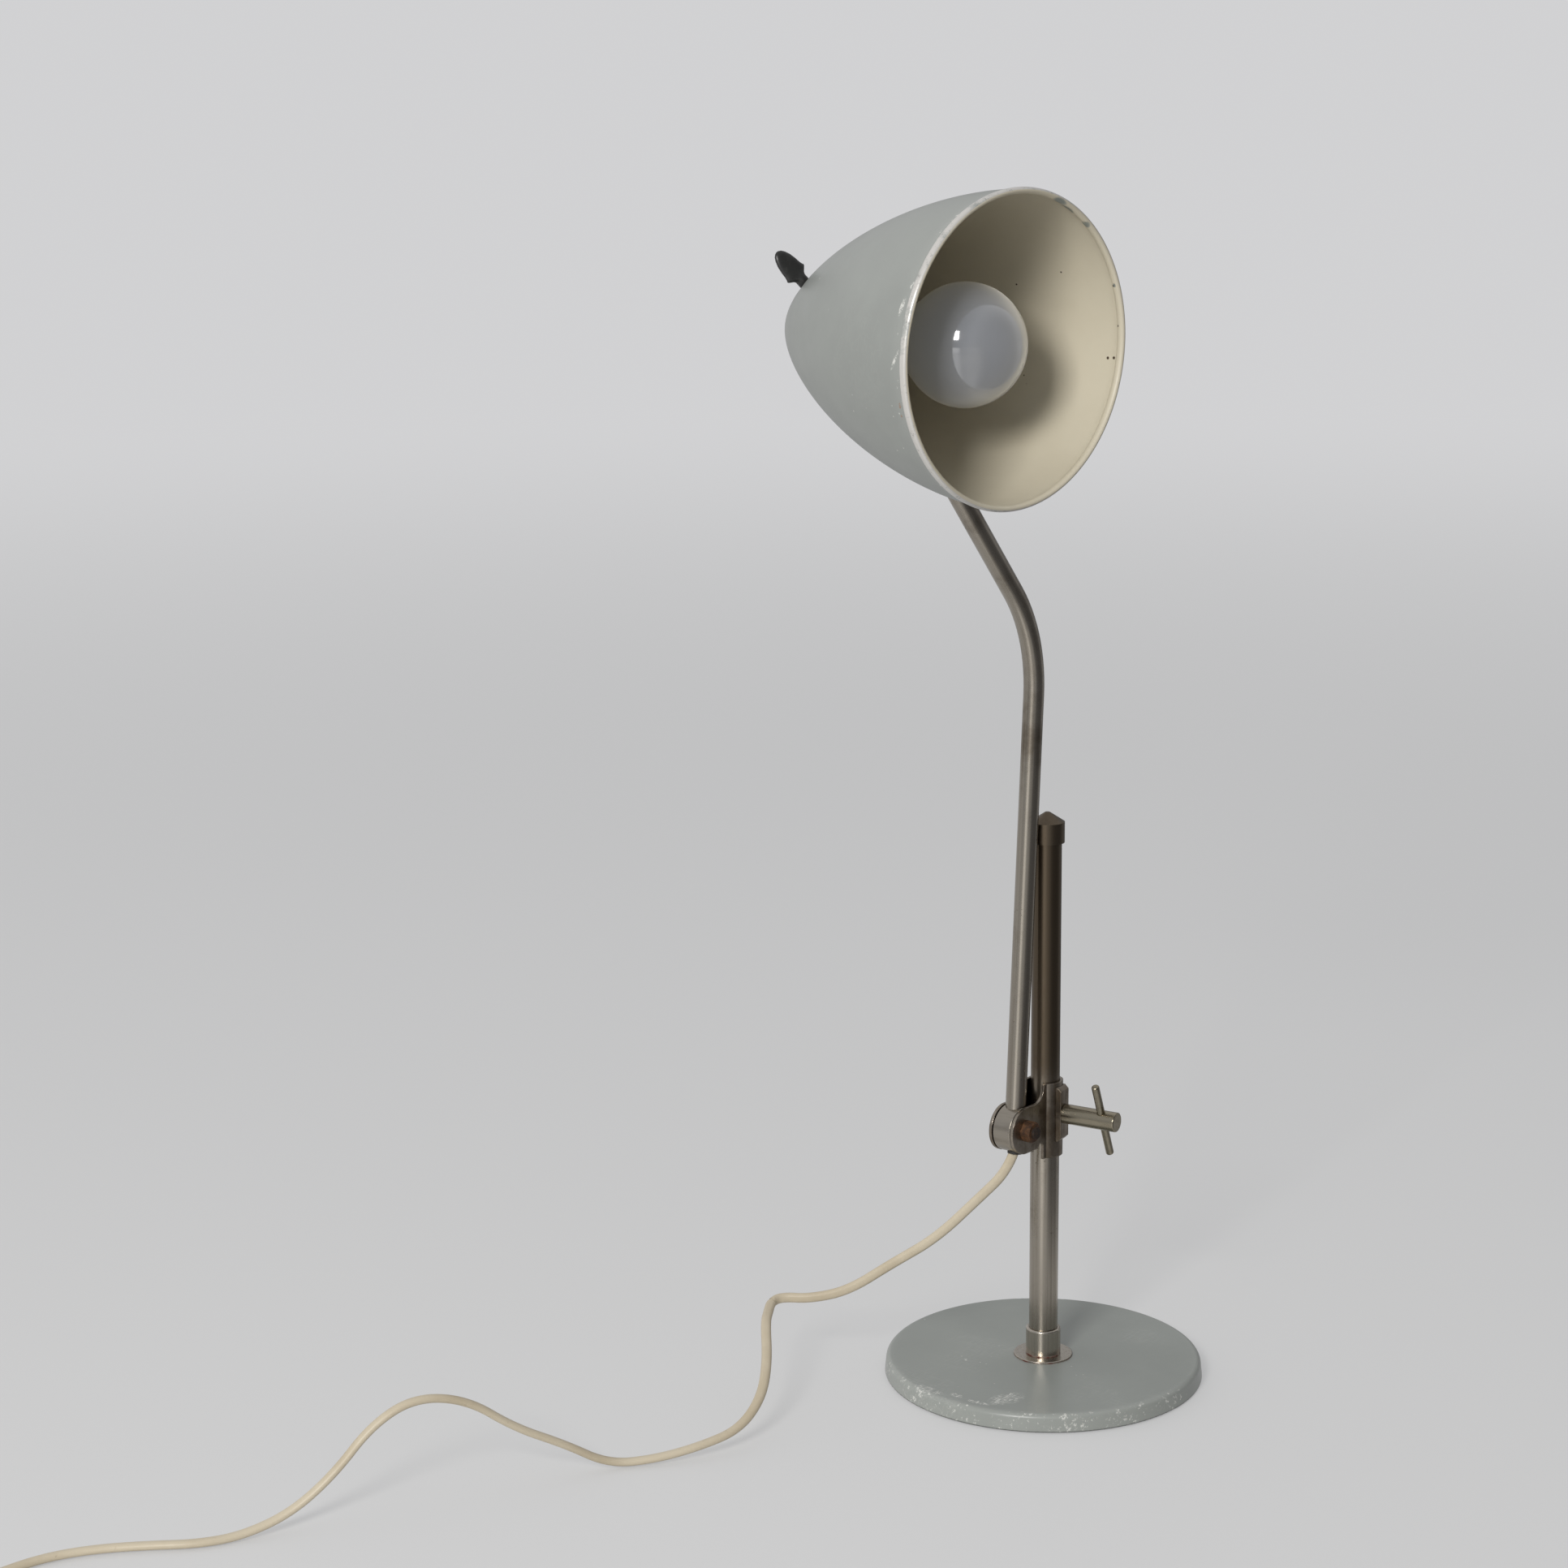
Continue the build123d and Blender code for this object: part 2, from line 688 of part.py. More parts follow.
# Knuckle
def knuckle():
    """Swivel piece: a stub in the arm's end, a shoulder and a flat tongue with the tilt hole."""
    shoulder_low = -knuckle_neck - knuckle_shoulder
    stub_radius = arm_bore_radius - running_gap
    stub_low = -tube_end() - knuckle_stub
    body = rod(knuckle_diameter / 2, shoulder_low, -knuckle_neck)
    body += rod(stub_radius, stub_low, shoulder_low)
    half = knuckle_tongue_thickness / 2
    wide = knuckle_tongue_width / 2
    body += slab(-half, half, -wide, wide, -knuckle_neck, 0)
    body += across_x(rod(knuckle_eye_diameter / 2, -half, half))
    body -= across_x(rod(tilt_screw_diameter / 2 + running_gap, -half - overrun, half + overrun))
    level = -tube_end() - sleeve_length / 2
    groove_half = grub_diameter / 2 + face_gap
    body -= pipe(
        stub_radius + overrun, stub_radius - knuckle_groove_depth, level - groove_half, level + groove_half
    )
    return knuckle_place * (body - rod(knuckle_bore / 2, stub_low - overrun, -knuckle_neck))


# Shade
def shade_body(inset):
    """Solid of the bell, inset from its outside."""
    deep = shade_depth - inset
    points = [(shade_mouth_radius - inset, 0, 0)]
    for share in shade_profile_shares:
        points.append((shade_radius_at(deep * share, inset), 0, -deep * share))
    points.append((0, 0, -deep))
    curve = Spline(*points, tangents=[(0, 0, -1), (-1, 0, 0)])
    edge = Polyline((0, 0, -deep), (0, 0, 0), points[0])
    return revolve(make_face(Wire([*curve.edges(), *edge.edges()])), Axis.Z)


def key_place():
    """Frame of the switch key: origin on the shade's outside, Z out along the stem, X across the wing."""
    lean = math.radians(key_lean)
    foot = (-shade_radius_at(key_depth, 0), 0, -key_depth)
    way = (-math.cos(lean), 0, -math.sin(lean))
    return Plane(origin=foot, x_dir=(0, 1, 0), z_dir=way).location


def lead_path():
    """Route of the lamp lead from the fork into the back of the lampholder, in the shade's frame."""
    return FilletPolyline(
        (fork_plate_level + fork_plate_thickness, 0, -joint_depth),
        (lead_drop_offset, 0, -joint_depth),
        (lead_drop_offset, 0, -lead_entry_depth),
        (holder_radius - holder_cap_wall * 2, 0, -lead_entry_depth),
        radius=lead_bend_radius,
    )


def fork_screw_places():
    """Frames of the two fork screws, side by side behind the tilt joint."""
    half = fork_screw_spacing / 2
    return [Pos(0, side, -joint_depth - fork_screw_back) for side in (-half, half)]


def fork_screw_holes(radius):
    """Bores for the fork screws, along X."""
    end = fork_plate_level + fork_plate_thickness - fork_screw_length - face_gap
    holes = Part()
    for place in fork_screw_places():
        holes += place * across_x(rod(radius, end, joint_offset))
    return holes


def shade():
    """Spun bell with a rolled hem, a slot for the switch key and holes at the fork."""
    room = shade_body(shade_wall) + rod(shade_mouth_radius - shade_wall, 0, overrun)
    bell = shade_body(0) - fork_screw_holes(fork_screw_diameter / 2 + seat_gap) - room
    hem_ring = shade_mouth_radius - hem_sink
    bell += Pos(0, 0, -hem_radius) * Torus(hem_ring, hem_radius)
    slot = extrude(SlotOverall(key_slot_length, key_slot_width), amount=key_slot_length, both=True)
    bell -= key_place() * Rot(0, 0, 90) * Pos(key_slot_shift, 0, 0) * slot
    return shade_place * (bell - tube_along(lead_path(), flex_radius + lead_room))


def shade_fork():
    """Cast fork on the shade: a wedge foot shaped to the bell, a plate and two ears."""
    half_width = fork_plate_width / 2
    top = fork_plate_level + fork_plate_thickness
    back = -joint_depth - fork_plate_behind
    foot = slab(0, top, -half_width, half_width, back, -joint_depth + fork_plate_ahead)
    foot = fillet(foot.edges().filter_by(Axis.X), fork_edge_round)
    foot -= shade_body(-seat_gap)
    inner = knuckle_tongue_thickness / 2 + face_gap
    outer = inner + fork_ear_thickness
    eye = knuckle_eye_diameter / 2
    for low, high in ((inner, outer), (-outer, -inner)):
        ear = slab(top - seat_gap, joint_offset, low, high, -joint_depth - eye, -joint_depth + eye)
        ear += Pos(joint_offset, 0, -joint_depth) * across_y(rod(eye, low, high))
        foot += ear
    pin_hole = rod(tilt_screw_diameter / 2 + seat_gap, -half_width - overrun, half_width + overrun)
    foot -= Pos(joint_offset, 0, -joint_depth) * across_y(pin_hole)
    foot -= fork_screw_holes(fork_screw_diameter / 2 + seat_gap)
    return shade_place * (foot - tube_along(lead_path(), flex_radius + lead_room))


def tilt_stack():
    """Distances of the tilt joint's parts along its axis: ear's outside, and outside of the washer."""
    ear_out = knuckle_tongue_thickness / 2 + face_gap + fork_ear_thickness
    return ear_out, ear_out + tilt_washer_thickness


def tilt_place():
    """Frame of the tilt screw in the shade's frame: Z along the pin."""
    return Pos(joint_offset, 0, -joint_depth) * Rot(-90, 0, 0)


def tilt_screw():
    """Slotted screw that the shade tilts on."""
    ear_out, washer_out = tilt_stack()
    head = rod(tilt_head_diameter / 2, -ear_out - tilt_head_height, -ear_out)
    slot_low = -ear_out - tilt_head_height - overrun
    slot_high = -ear_out - tilt_head_height + tilt_slot_depth
    wide = tilt_head_diameter
    half = tilt_slot_width / 2
    head -= slab(-wide, wide, -half, half, slot_low, slot_high)
    shank = rod(tilt_screw_diameter / 2, -ear_out, washer_out + tilt_nut_height)
    return shade_place * tilt_place() * (head + shank)


def tilt_washer():
    """Spring washer under the tilt nut."""
    ear_out, washer_out = tilt_stack()
    ring = pipe(tilt_washer_diameter / 2, tilt_screw_diameter / 2 + seat_gap, ear_out, washer_out)
    return shade_place * tilt_place() * ring


def tilt_nut():
    """Hexagon nut of the tilt joint."""
    washer_out = tilt_stack()[1]
    top = washer_out + tilt_nut_height
    nut = hex_rod(tilt_nut_across, washer_out, top)
    return shade_place * tilt_place() * (nut - rod(tilt_screw_diameter / 2 + seat_gap, 0, top + overrun))


def fork_screws():
    """Two screws through the fork and the shade into the lampholder's bracket."""
    top = fork_plate_level + fork_plate_thickness
    screws = []
    for place in fork_screw_places():
        screw = rod(fork_screw_head_diameter / 2, top, top + fork_screw_head_height)
        screw += rod(fork_screw_diameter / 2, top - fork_screw_length, top)
        screws.append(shade_place * place * across_x(screw))
    return Compound(screws)


# Lampholder and switch
def holder_bracket():
    """Ring round the lampholder, with a lug that meets the shade's inside under the fork's screws."""
    ring_half = holder_ring_length / 2
    ring = pipe(
        holder_radius + holder_ring_wall,
        holder_radius + seat_gap,
        -joint_depth - ring_half,
        -joint_depth + ring_half,
    )
    middle = joint_depth + fork_screw_back
    half_width = holder_lug_width / 2
    half_length = holder_lug_length / 2
    lug = slab(
        holder_radius + holder_ring_wall / 2,
        fork_plate_level,
        -half_width,
        half_width,
        -middle - half_length,
        -middle + half_length,
    )
    bracket = ring + (lug & shade_body(shade_wall + holder_lug_gap))
    bracket -= fork_screw_holes(fork_screw_diameter / 2 + seat_gap)
    return shade_place * (bracket - tube_along(lead_path(), flex_radius + lead_room))


def holder_body():
    """Moulded skirt round the screw shell."""
    skirt = rod(holder_radius, -holder_cap_depth, -bulb_neck_depth)
    skirt = fillet(skirt.edges().sort_by(Axis.Z)[-1], holder_lip_round)
    return shade_place * (skirt - rod(holder_bore / 2, -holder_cap_depth - overrun, overrun))


def holder_cap():
    """Moulded back of the lampholder, over the switch."""
    end = -holder_end_depth
    end_radius = holder_cap_end_diameter / 2
    wall = holder_cap_wall
    cap = turned([
        (0, end), (end_radius, end), (holder_radius, -holder_cap_depth), (0, -holder_cap_depth)
    ])
    room = turned([
        (0, end + wall),
        (end_radius - wall, end + wall),
        (holder_radius - wall, -holder_cap_depth),
        (holder_radius - wall, -holder_cap_depth + overrun),
        (0, -holder_cap_depth + overrun),
    ])
    cap -= room
    cap -= key_place() * rod(key_stem_diameter / 2 + running_gap, -key_stem_in, 0)
    return shade_place * (cap - tube_along(lead_path(), flex_radius + lead_room))


def socket_shell():
    """Screw shell of the lampholder."""
    radius = socket_shell_diameter / 2
    return shade_place * pipe(radius, radius - socket_shell_wall, -socket_shell_end, -socket_shell_depth)


def socket_base():
    """Insulating disc behind the screw shell."""
    low = -socket_base_depth - socket_base_thickness
    disc = rod(holder_bore / 2 - seat_gap, low, -socket_base_depth)
    ring_low = -socket_base_depth - seat_gap
    ring_high = -socket_shell_end - seat_gap
    disc += pipe(holder_bore / 2 - seat_gap, contact_diameter, ring_low, ring_high)
    return shade_place * (disc - rod(contact_rivet_diameter / 2 + seat_gap, low - overrun, 0))


def centre_contact():
    """Contact under the bulb's tip, with its rivet."""
    top = -socket_base_depth + contact_thickness
    plate = rod(contact_diameter / 2, -socket_base_depth, top)
    rivet = rod(
        contact_rivet_diameter / 2, -socket_base_depth - socket_base_thickness, -socket_base_depth
    )
    return shade_place * (plate + rivet)


def switch_block():
    """Moulded block that holds the rotary switch, behind the socket base."""
    front = -socket_base_depth - socket_base_thickness
    block = rod(switch_block_diameter / 2, front - switch_block_length, front)
    return shade_place * (block - key_place() * rod(key_stem_diameter / 2 + running_gap, -key_stem_in * 2, 0))


def terminal_screws():
    """Two terminal screws on the back of the switch block."""
    front = -socket_base_depth - socket_base_thickness - switch_block_length
    screws = []
    for side in (-1, 1):
        head = rod(terminal_diameter / 2, front - terminal_height, front)
        screws.append(shade_place * Pos(0, side * terminal_spacing / 2, 0) * head)
    return Compound(screws)


def lamp_lead():
    """Cable from the fork into the lampholder."""
    return shade_place * tube_along(lead_path(), flex_radius)


def key_wing():
    """Leaf-shaped wing of the switch key, broad along X and lens-shaped in section."""
    root = key_stem_out - key_wing_length * key_neck_share
    tip = key_stem_out + key_wing_length
    side = [
        (key_stem_diameter / 2, root),
        (key_shoulder_half_width, key_stem_out + key_wing_length * key_neck_share),
        (key_wing_half_width, key_stem_out + key_wing_length * key_flank_share),
    ]
    right = Polyline(*side)
    left = Polyline(*[(-x, y) for x, y in reversed(side)])
    crown = Spline(side[-1], (0, tip), left @ 0, tangents=[(0, 1), (0, -1)])
    foot = Line(left @ 1, right @ 0)
    face = make_face(Wire([*right.edges(), *crown.edges(), *left.edges(), *foot.edges()]))
    leaf = Rot(90, 0, 0) * extrude(face, amount=key_wing_thickness, both=True)
    section = Ellipse(key_shoulder_half_width * key_lens_share, key_wing_thickness / 2)
    return leaf & extrude(section, amount=tip + overrun)


def switch_key():
    """Moulded turn key: stem into the switch and a flat wing outside the shade."""
    stem = rod(key_stem_diameter / 2, -key_stem_in, key_stem_out)
    return shade_place * key_place() * (stem + key_wing())


# Bulb
def bulb_outline(inset):
    """Solid of the globe and neck, inset from the outside."""
    radius = bulb_radius - inset
    sweep_angle = math.radians(bulb_globe_sweep)
    half_angle = sweep_angle / 2
    front = (0, 0, radius - bulb_centre_depth)
    middle = (radius * math.sin(half_angle), 0, radius * math.cos(half_angle) - bulb_centre_depth)
    waist = (radius * math.sin(sweep_angle), 0, radius * math.cos(sweep_angle) - bulb_centre_depth)
    neck = (bulb_neck_radius - inset, 0, -bulb_neck_depth)
    globe = ThreePointArc(front, middle, waist)
    shoulder = Spline(waist, neck, tangents=[globe % 1, (0, 0, -1)])
    close = Polyline(neck, (0, 0, -bulb_neck_depth), front)
    return revolve(make_face(Wire([*globe.edges(), *shoulder.edges(), *close.edges()])), Axis.Z)


def bulb_glass():
    """Opal glass envelope, open at the neck."""
    room = bulb_outline(bulb_wall) + rod(
        bulb_neck_radius - bulb_wall, -bulb_neck_depth - overrun, -bulb_neck_depth
    )
    return shade_place * (bulb_outline(0) - room)


def bulb_cap():
    """Screw cap of the bulb, with rounded thread ridges."""
    step = bulb_cap_length / (2 * bulb_cap_threads)
    top = -bulb_neck_depth
    outer = [(0, top)]
    for number in range(2 * bulb_cap_threads + 1):
        radius = bulb_cap_crest_radius if number % 2 else bulb_cap_root_radius
        outer.append((radius, top - number * step))
    outer.append((0, top - bulb_cap_length))
    shell = turned(outer)
    room = rod(bulb_cap_root_radius - bulb_cap_wall, top - bulb_cap_length + bulb_cap_wall, top + overrun)
    return shade_place * (shell - room)


def bulb_insulator():
    """Dark glass ring between the cap and its tip."""
    high = -bulb_neck_depth - bulb_cap_length
    low = high - bulb_insulator_length
    return shade_place * turned([
        (0, low), (bulb_tip_diameter / 2, low), (bulb_cap_root_radius - bulb_cap_wall, high), (0, high)
    ])


def bulb_tip():
    """Soldered tip of the bulb."""
    high = -bulb_neck_depth - bulb_cap_length - bulb_insulator_length
    return shade_place * rod(bulb_tip_diameter / 2, high - bulb_tip_length, high)


def bulb_stem():
    """Glass stem inside the bulb, flared to the neck."""
    flare_radius = bulb_neck_radius - bulb_wall - seat_gap
    stem = rod(bulb_stem_diameter / 2, -bulb_neck_depth, -bulb_neck_depth + bulb_stem_length)
    stem += rod(flare_radius, -bulb_neck_depth, -bulb_neck_depth + bulb_stem_flare_length)
    return shade_place * stem


def bulb_filament():
    """Lead wires and filament, standing on the stem."""
    low = -bulb_neck_depth + bulb_stem_length + bulb_wire_diameter / 2
    high = low + bulb_wire_rise
    foot = bulb_stem_diameter / 2 - bulb_wire_diameter
    path = FilletPolyline(
        (0, -foot, low),
        (0, -bulb_wire_spread, high),
        (0, bulb_wire_spread, high),
        (0, foot, low),
        radius=bulb_wire_diameter * 2,
    )
    return shade_place * tube_along(path, bulb_wire_diameter / 2)


# Cord, coil and plug
def corner_radii(route):
    """Largest arc that each corner of a route has room for."""
    points = [Vector(p) for p in route]
    radii = []
    for before, here, after in zip(points, points[1:], points[2:]):
        turn = math.radians((here - before).get_angle(after - here))
        shorter = min((here - before).length, (after - here).length)
        radii.append(corner_share * shorter / math.tan(turn / 2))
    return radii


def cord_tube(name, route):
    """Tube along straight runs joined by tangent arcs."""
    radii = corner_radii(route)
    path = FilletPolyline(*route, radius=radii)
    tube = tube_along(path, cord_radius)
    measured = tube.volume / (math.pi * cord_radius**2 * path.length)
    print(name, "length", round(path.length, 1), "volume share", round(measured, 4))
    print(name, "radii", [round(r, 1) for r in radii])
    return tube


def arc_from(start, way, stop):
    """Arc that leaves a point along a direction and ends at another point."""
    return Edge.make_tangent_arc(Vector(*start), Vector(*way), Vector(*stop))


def coil_path():
    """Middle line of the coil: in along the table, up one layer, and out again on top."""
    x, y = coil_start_x, coil_start_y
    step = coil_turn_step / 2
    edges = [Edge.make_line((x - cord_diameter, y, coil_low), (x, y, coil_low))]
    side = 1
    radius = coil_outer_radius
    for _ in range(coil_half_turns_in):
        stop = y + side * 2 * radius
        edges.append(arc_from((x, y, coil_low), (side, 0, 0), (x, stop, coil_low)))
        y, side, radius = stop, -side, radius - step
    # The half turn that climbs is two quarter arcs that meet half way up
    climb = radius
    reach = math.hypot(2 * climb, coil_layer_step) / 2
    middle = (x + side * reach, y + side * climb, (coil_low + coil_high) / 2)
    stop = y + side * 2 * climb
    edges.append(arc_from((x, y, coil_low), (side, 0, 0), middle))
    edges.append(arc_from(middle, (0, side * 2 * climb, coil_layer_step), (x, stop, coil_high)))
    y, side, radius = stop, -side, radius + step
    for _ in range(coil_half_turns_out):
        stop = y + side * 2 * radius
        edges.append(arc_from((x, y, coil_high), (side, 0, 0), (x, stop, coil_high)))
        y, side, radius = stop, -side, radius + step
    edges.append(Edge.make_line((x, y, coil_high), (x + coil_tail, y, coil_high)))
    return Wire(edges)


def least_coil_gap(path):
    """Least gap of the coil to itself, measured between points along it."""
    count = 900
    apart = path.length / count
    points = [path @ (n / count) for n in range(count + 1)]
    skip = int(math.pi * cord_diameter / apart)
    least = coil_outer_radius
    for n, first in enumerate(points):
        for other in points[n + skip:]:
            least = min(least, (first - other).length)
    return least - cord_diameter


def cord_coil():
    """Length of cord that is put away, wound in two layers."""
    path = coil_path()
    tube = tube_along(path, cord_radius)
    share = tube.volume / (math.pi * cord_radius**2 * path.length)
    print("cord_coil length", round(path.length, 1), "volume share", round(share, 4))
    print("cord_coil least gap", round(least_coil_gap(path), 2))
    return tube


def coil_tie():
    """Strap round one side of the coil."""
    inner = coil_inner_radius - cord_radius - tie_slack
    outer = coil_outer_radius + cord_radius + tie_slack
    high = coil_high + cord_radius + tie_room
    half = tie_width / 2
    strap = slab(inner - tie_thickness, outer + tie_thickness, -half, half, 0, high + tie_thickness)
    strap = fillet(strap.edges().filter_by(Axis.Y), tie_thickness)
    strap -= slab(inner, outer, -tie_width, tie_width, tie_thickness, high)
    return Pos(coil_start_x, coil_start_y + coil_outer_radius, 0) * strap


def plug_place():
    """Frame of the plug: origin where the cord ends, Z along the cord."""
    end = coil_path() @ 1
    return Plane(origin=end, x_dir=(0, 1, 0), z_dir=(1, 0, 0)).location


def plug_body():
    """Moulded plug with a tapered neck, lying flat."""
    neck = Pos(0, 0, plug_neck_length / 2) * Cone(
        plug_neck_diameter / 2, plug_neck_end_diameter / 2, plug_neck_length
    )
    outline = RectangleRounded(plug_body_width, coil_high * 2, plug_edge_round)
    body = Pos(0, 0, plug_neck_length) * extrude(outline, amount=plug_body_length)
    body += neck
    for side in (-1, 1):
        low = plug_neck_length + plug_body_length - plug_pin_socket
        hole = rod(plug_pin_diameter / 2 + seat_gap, low, low + plug_body_length)
        body -= Pos(side * plug_pin_spacing / 2, 0, 0) * hole
    return plug_place() * body


def plug_pins():
    """Two round pins."""
    low = plug_neck_length + plug_body_length - plug_pin_socket
    pins = []
    for side in (-1, 1):
        pin = rod(plug_pin_diameter / 2, low, low + plug_pin_socket + plug_pin_length)
        pin = fillet(pin.edges().sort_by(Axis.Z)[-1], plug_pin_diameter / 4)
        pins.append(plug_place() * Pos(side * plug_pin_spacing / 2, 0, 0) * pin)
    return Compound(pins)


def cord_drop():
    """Cord from the drum to just past its sharp bend."""
    outlet = outlet_plane()
    run = [outlet.origin + outlet.z_dir * s for s in (cord_start, cord_start + cord_outlet_run)]
    return cord_tube("cord_drop", [*run, *[Vector(*p) for p in hanging_route]])


def cord_on_table():
    """Cord from the bend to the coil."""
    return cord_tube("cord_on_table", table_route)


pieces = [
    base_disc, base_felt, base_bolt, base_washer, flange_washer, post_ferrule,
    post_tube, post_plug, post_cap,
    clamp_strap, clamp_boss, friction_washers, hinge_bolt, hinge_nut,
    toggle_screw, toggle_bar,
    hinge_drum, drum_lid, outlet_bush, drum_flex, arm_tube, arm_flex, arm_sleeve, swivel_grub,
    knuckle,
    shade, shade_fork, tilt_screw, tilt_washer, tilt_nut, fork_screws,
    holder_bracket, holder_body, holder_cap, socket_shell, socket_base, centre_contact,
    switch_block, terminal_screws, lamp_lead,
    switch_key,
    bulb_glass, bulb_cap, bulb_insulator, bulb_tip, bulb_stem, bulb_filament,
    cord_drop, cord_on_table, cord_coil, coil_tie, plug_body, plug_pins,
]

os.makedirs("parts", exist_ok=True)
for piece in pieces:
    export_step(piece(), f"parts/{piece.__name__}.step")
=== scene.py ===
import logging
import math
from abc import ABC, abstractmethod
from collections.abc import Callable, Sequence
from dataclasses import dataclass, field
from enum import Enum
from functools import reduce
from typing import Any

import bmesh
import bpy
from mathutils import Matrix, Vector


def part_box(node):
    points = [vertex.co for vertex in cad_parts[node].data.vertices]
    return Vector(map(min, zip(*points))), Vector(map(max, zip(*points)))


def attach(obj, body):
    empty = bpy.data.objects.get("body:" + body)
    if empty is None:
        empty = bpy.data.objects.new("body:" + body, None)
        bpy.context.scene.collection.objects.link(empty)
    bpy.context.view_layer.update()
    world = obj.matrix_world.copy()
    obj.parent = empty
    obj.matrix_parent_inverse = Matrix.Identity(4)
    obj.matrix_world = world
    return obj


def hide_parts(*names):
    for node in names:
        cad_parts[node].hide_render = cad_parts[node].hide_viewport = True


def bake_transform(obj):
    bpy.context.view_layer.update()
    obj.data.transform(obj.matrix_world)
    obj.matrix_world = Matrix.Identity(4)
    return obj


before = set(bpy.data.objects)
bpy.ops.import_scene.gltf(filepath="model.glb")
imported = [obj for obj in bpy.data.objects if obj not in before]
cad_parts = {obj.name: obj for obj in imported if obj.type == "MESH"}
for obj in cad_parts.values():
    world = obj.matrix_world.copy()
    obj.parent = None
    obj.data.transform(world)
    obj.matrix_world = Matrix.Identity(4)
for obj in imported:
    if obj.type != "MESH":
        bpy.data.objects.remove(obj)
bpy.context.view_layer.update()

LOG = logging.getLogger("desk_lamp")
MM = 0.001
BEVEL_SAMPLES = 6

Colour = tuple[float, float, float]
Point = tuple[float, float, float]


def srgb(red: int, green: int, blue: int) -> Colour:
    """Turns a colour as a picture stores it into linear light.

    Args:
        red: Red, 0 to 255.
        green: Green, 0 to 255.
        blue: Blue, 0 to 255.

    Returns:
        The linear colour.
    """
    def linear(level: int) -> float:
        """Linear light of one stored level."""
        share = level / 255
        return share / 12.92 if share <= 0.04045 else ((share + 0.055) / 1.055) ** 2.4

    return linear(red), linear(green), linear(blue)


def shaded(colour: Colour, share: float) -> Colour:
    """A colour made darker or lighter."""
    return tuple(min(part * share, 1.0) for part in colour)


# Shader maths
@dataclass(frozen=True)
class Value:
    """A node socket that takes part in Python expressions."""

    nodes: "Nodes"
    socket: bpy.types.NodeSocket

    def __add__(self, other: Any) -> "Value":
        """Sum."""
        return self.nodes.math("ADD", self, other)

    def __radd__(self, other: Any) -> "Value":
        """Sum with a number first."""
        return self.nodes.math("ADD", other, self)

    def __sub__(self, other: Any) -> "Value":
        """Difference."""
        return self.nodes.math("SUBTRACT", self, other)

    def __rsub__(self, other: Any) -> "Value":
        """Difference with a number first."""
        return self.nodes.math("SUBTRACT", other, self)

    def __mul__(self, other: Any) -> "Value":
        """Product."""
        return self.nodes.math("MULTIPLY", self, other)

    def __rmul__(self, other: Any) -> "Value":
        """Product with a number first."""
        return self.nodes.math("MULTIPLY", other, self)

    def __truediv__(self, other: Any) -> "Value":
        """Quotient."""
        return self.nodes.math("DIVIDE", self, other)

    def __rtruediv__(self, other: Any) -> "Value":
        """Quotient with a number first."""
        return self.nodes.math("DIVIDE", other, self)

    def __pow__(self, other: Any) -> "Value":
        """Power."""
        return self.nodes.math("POWER", self, other)

    def __rpow__(self, other: Any) -> "Value":
        """Power with a number first."""
        return self.nodes.math("POWER", other, self)

    def __abs__(self) -> "Value":
        """Size without sign."""
        return self.nodes.math("ABSOLUTE", self)


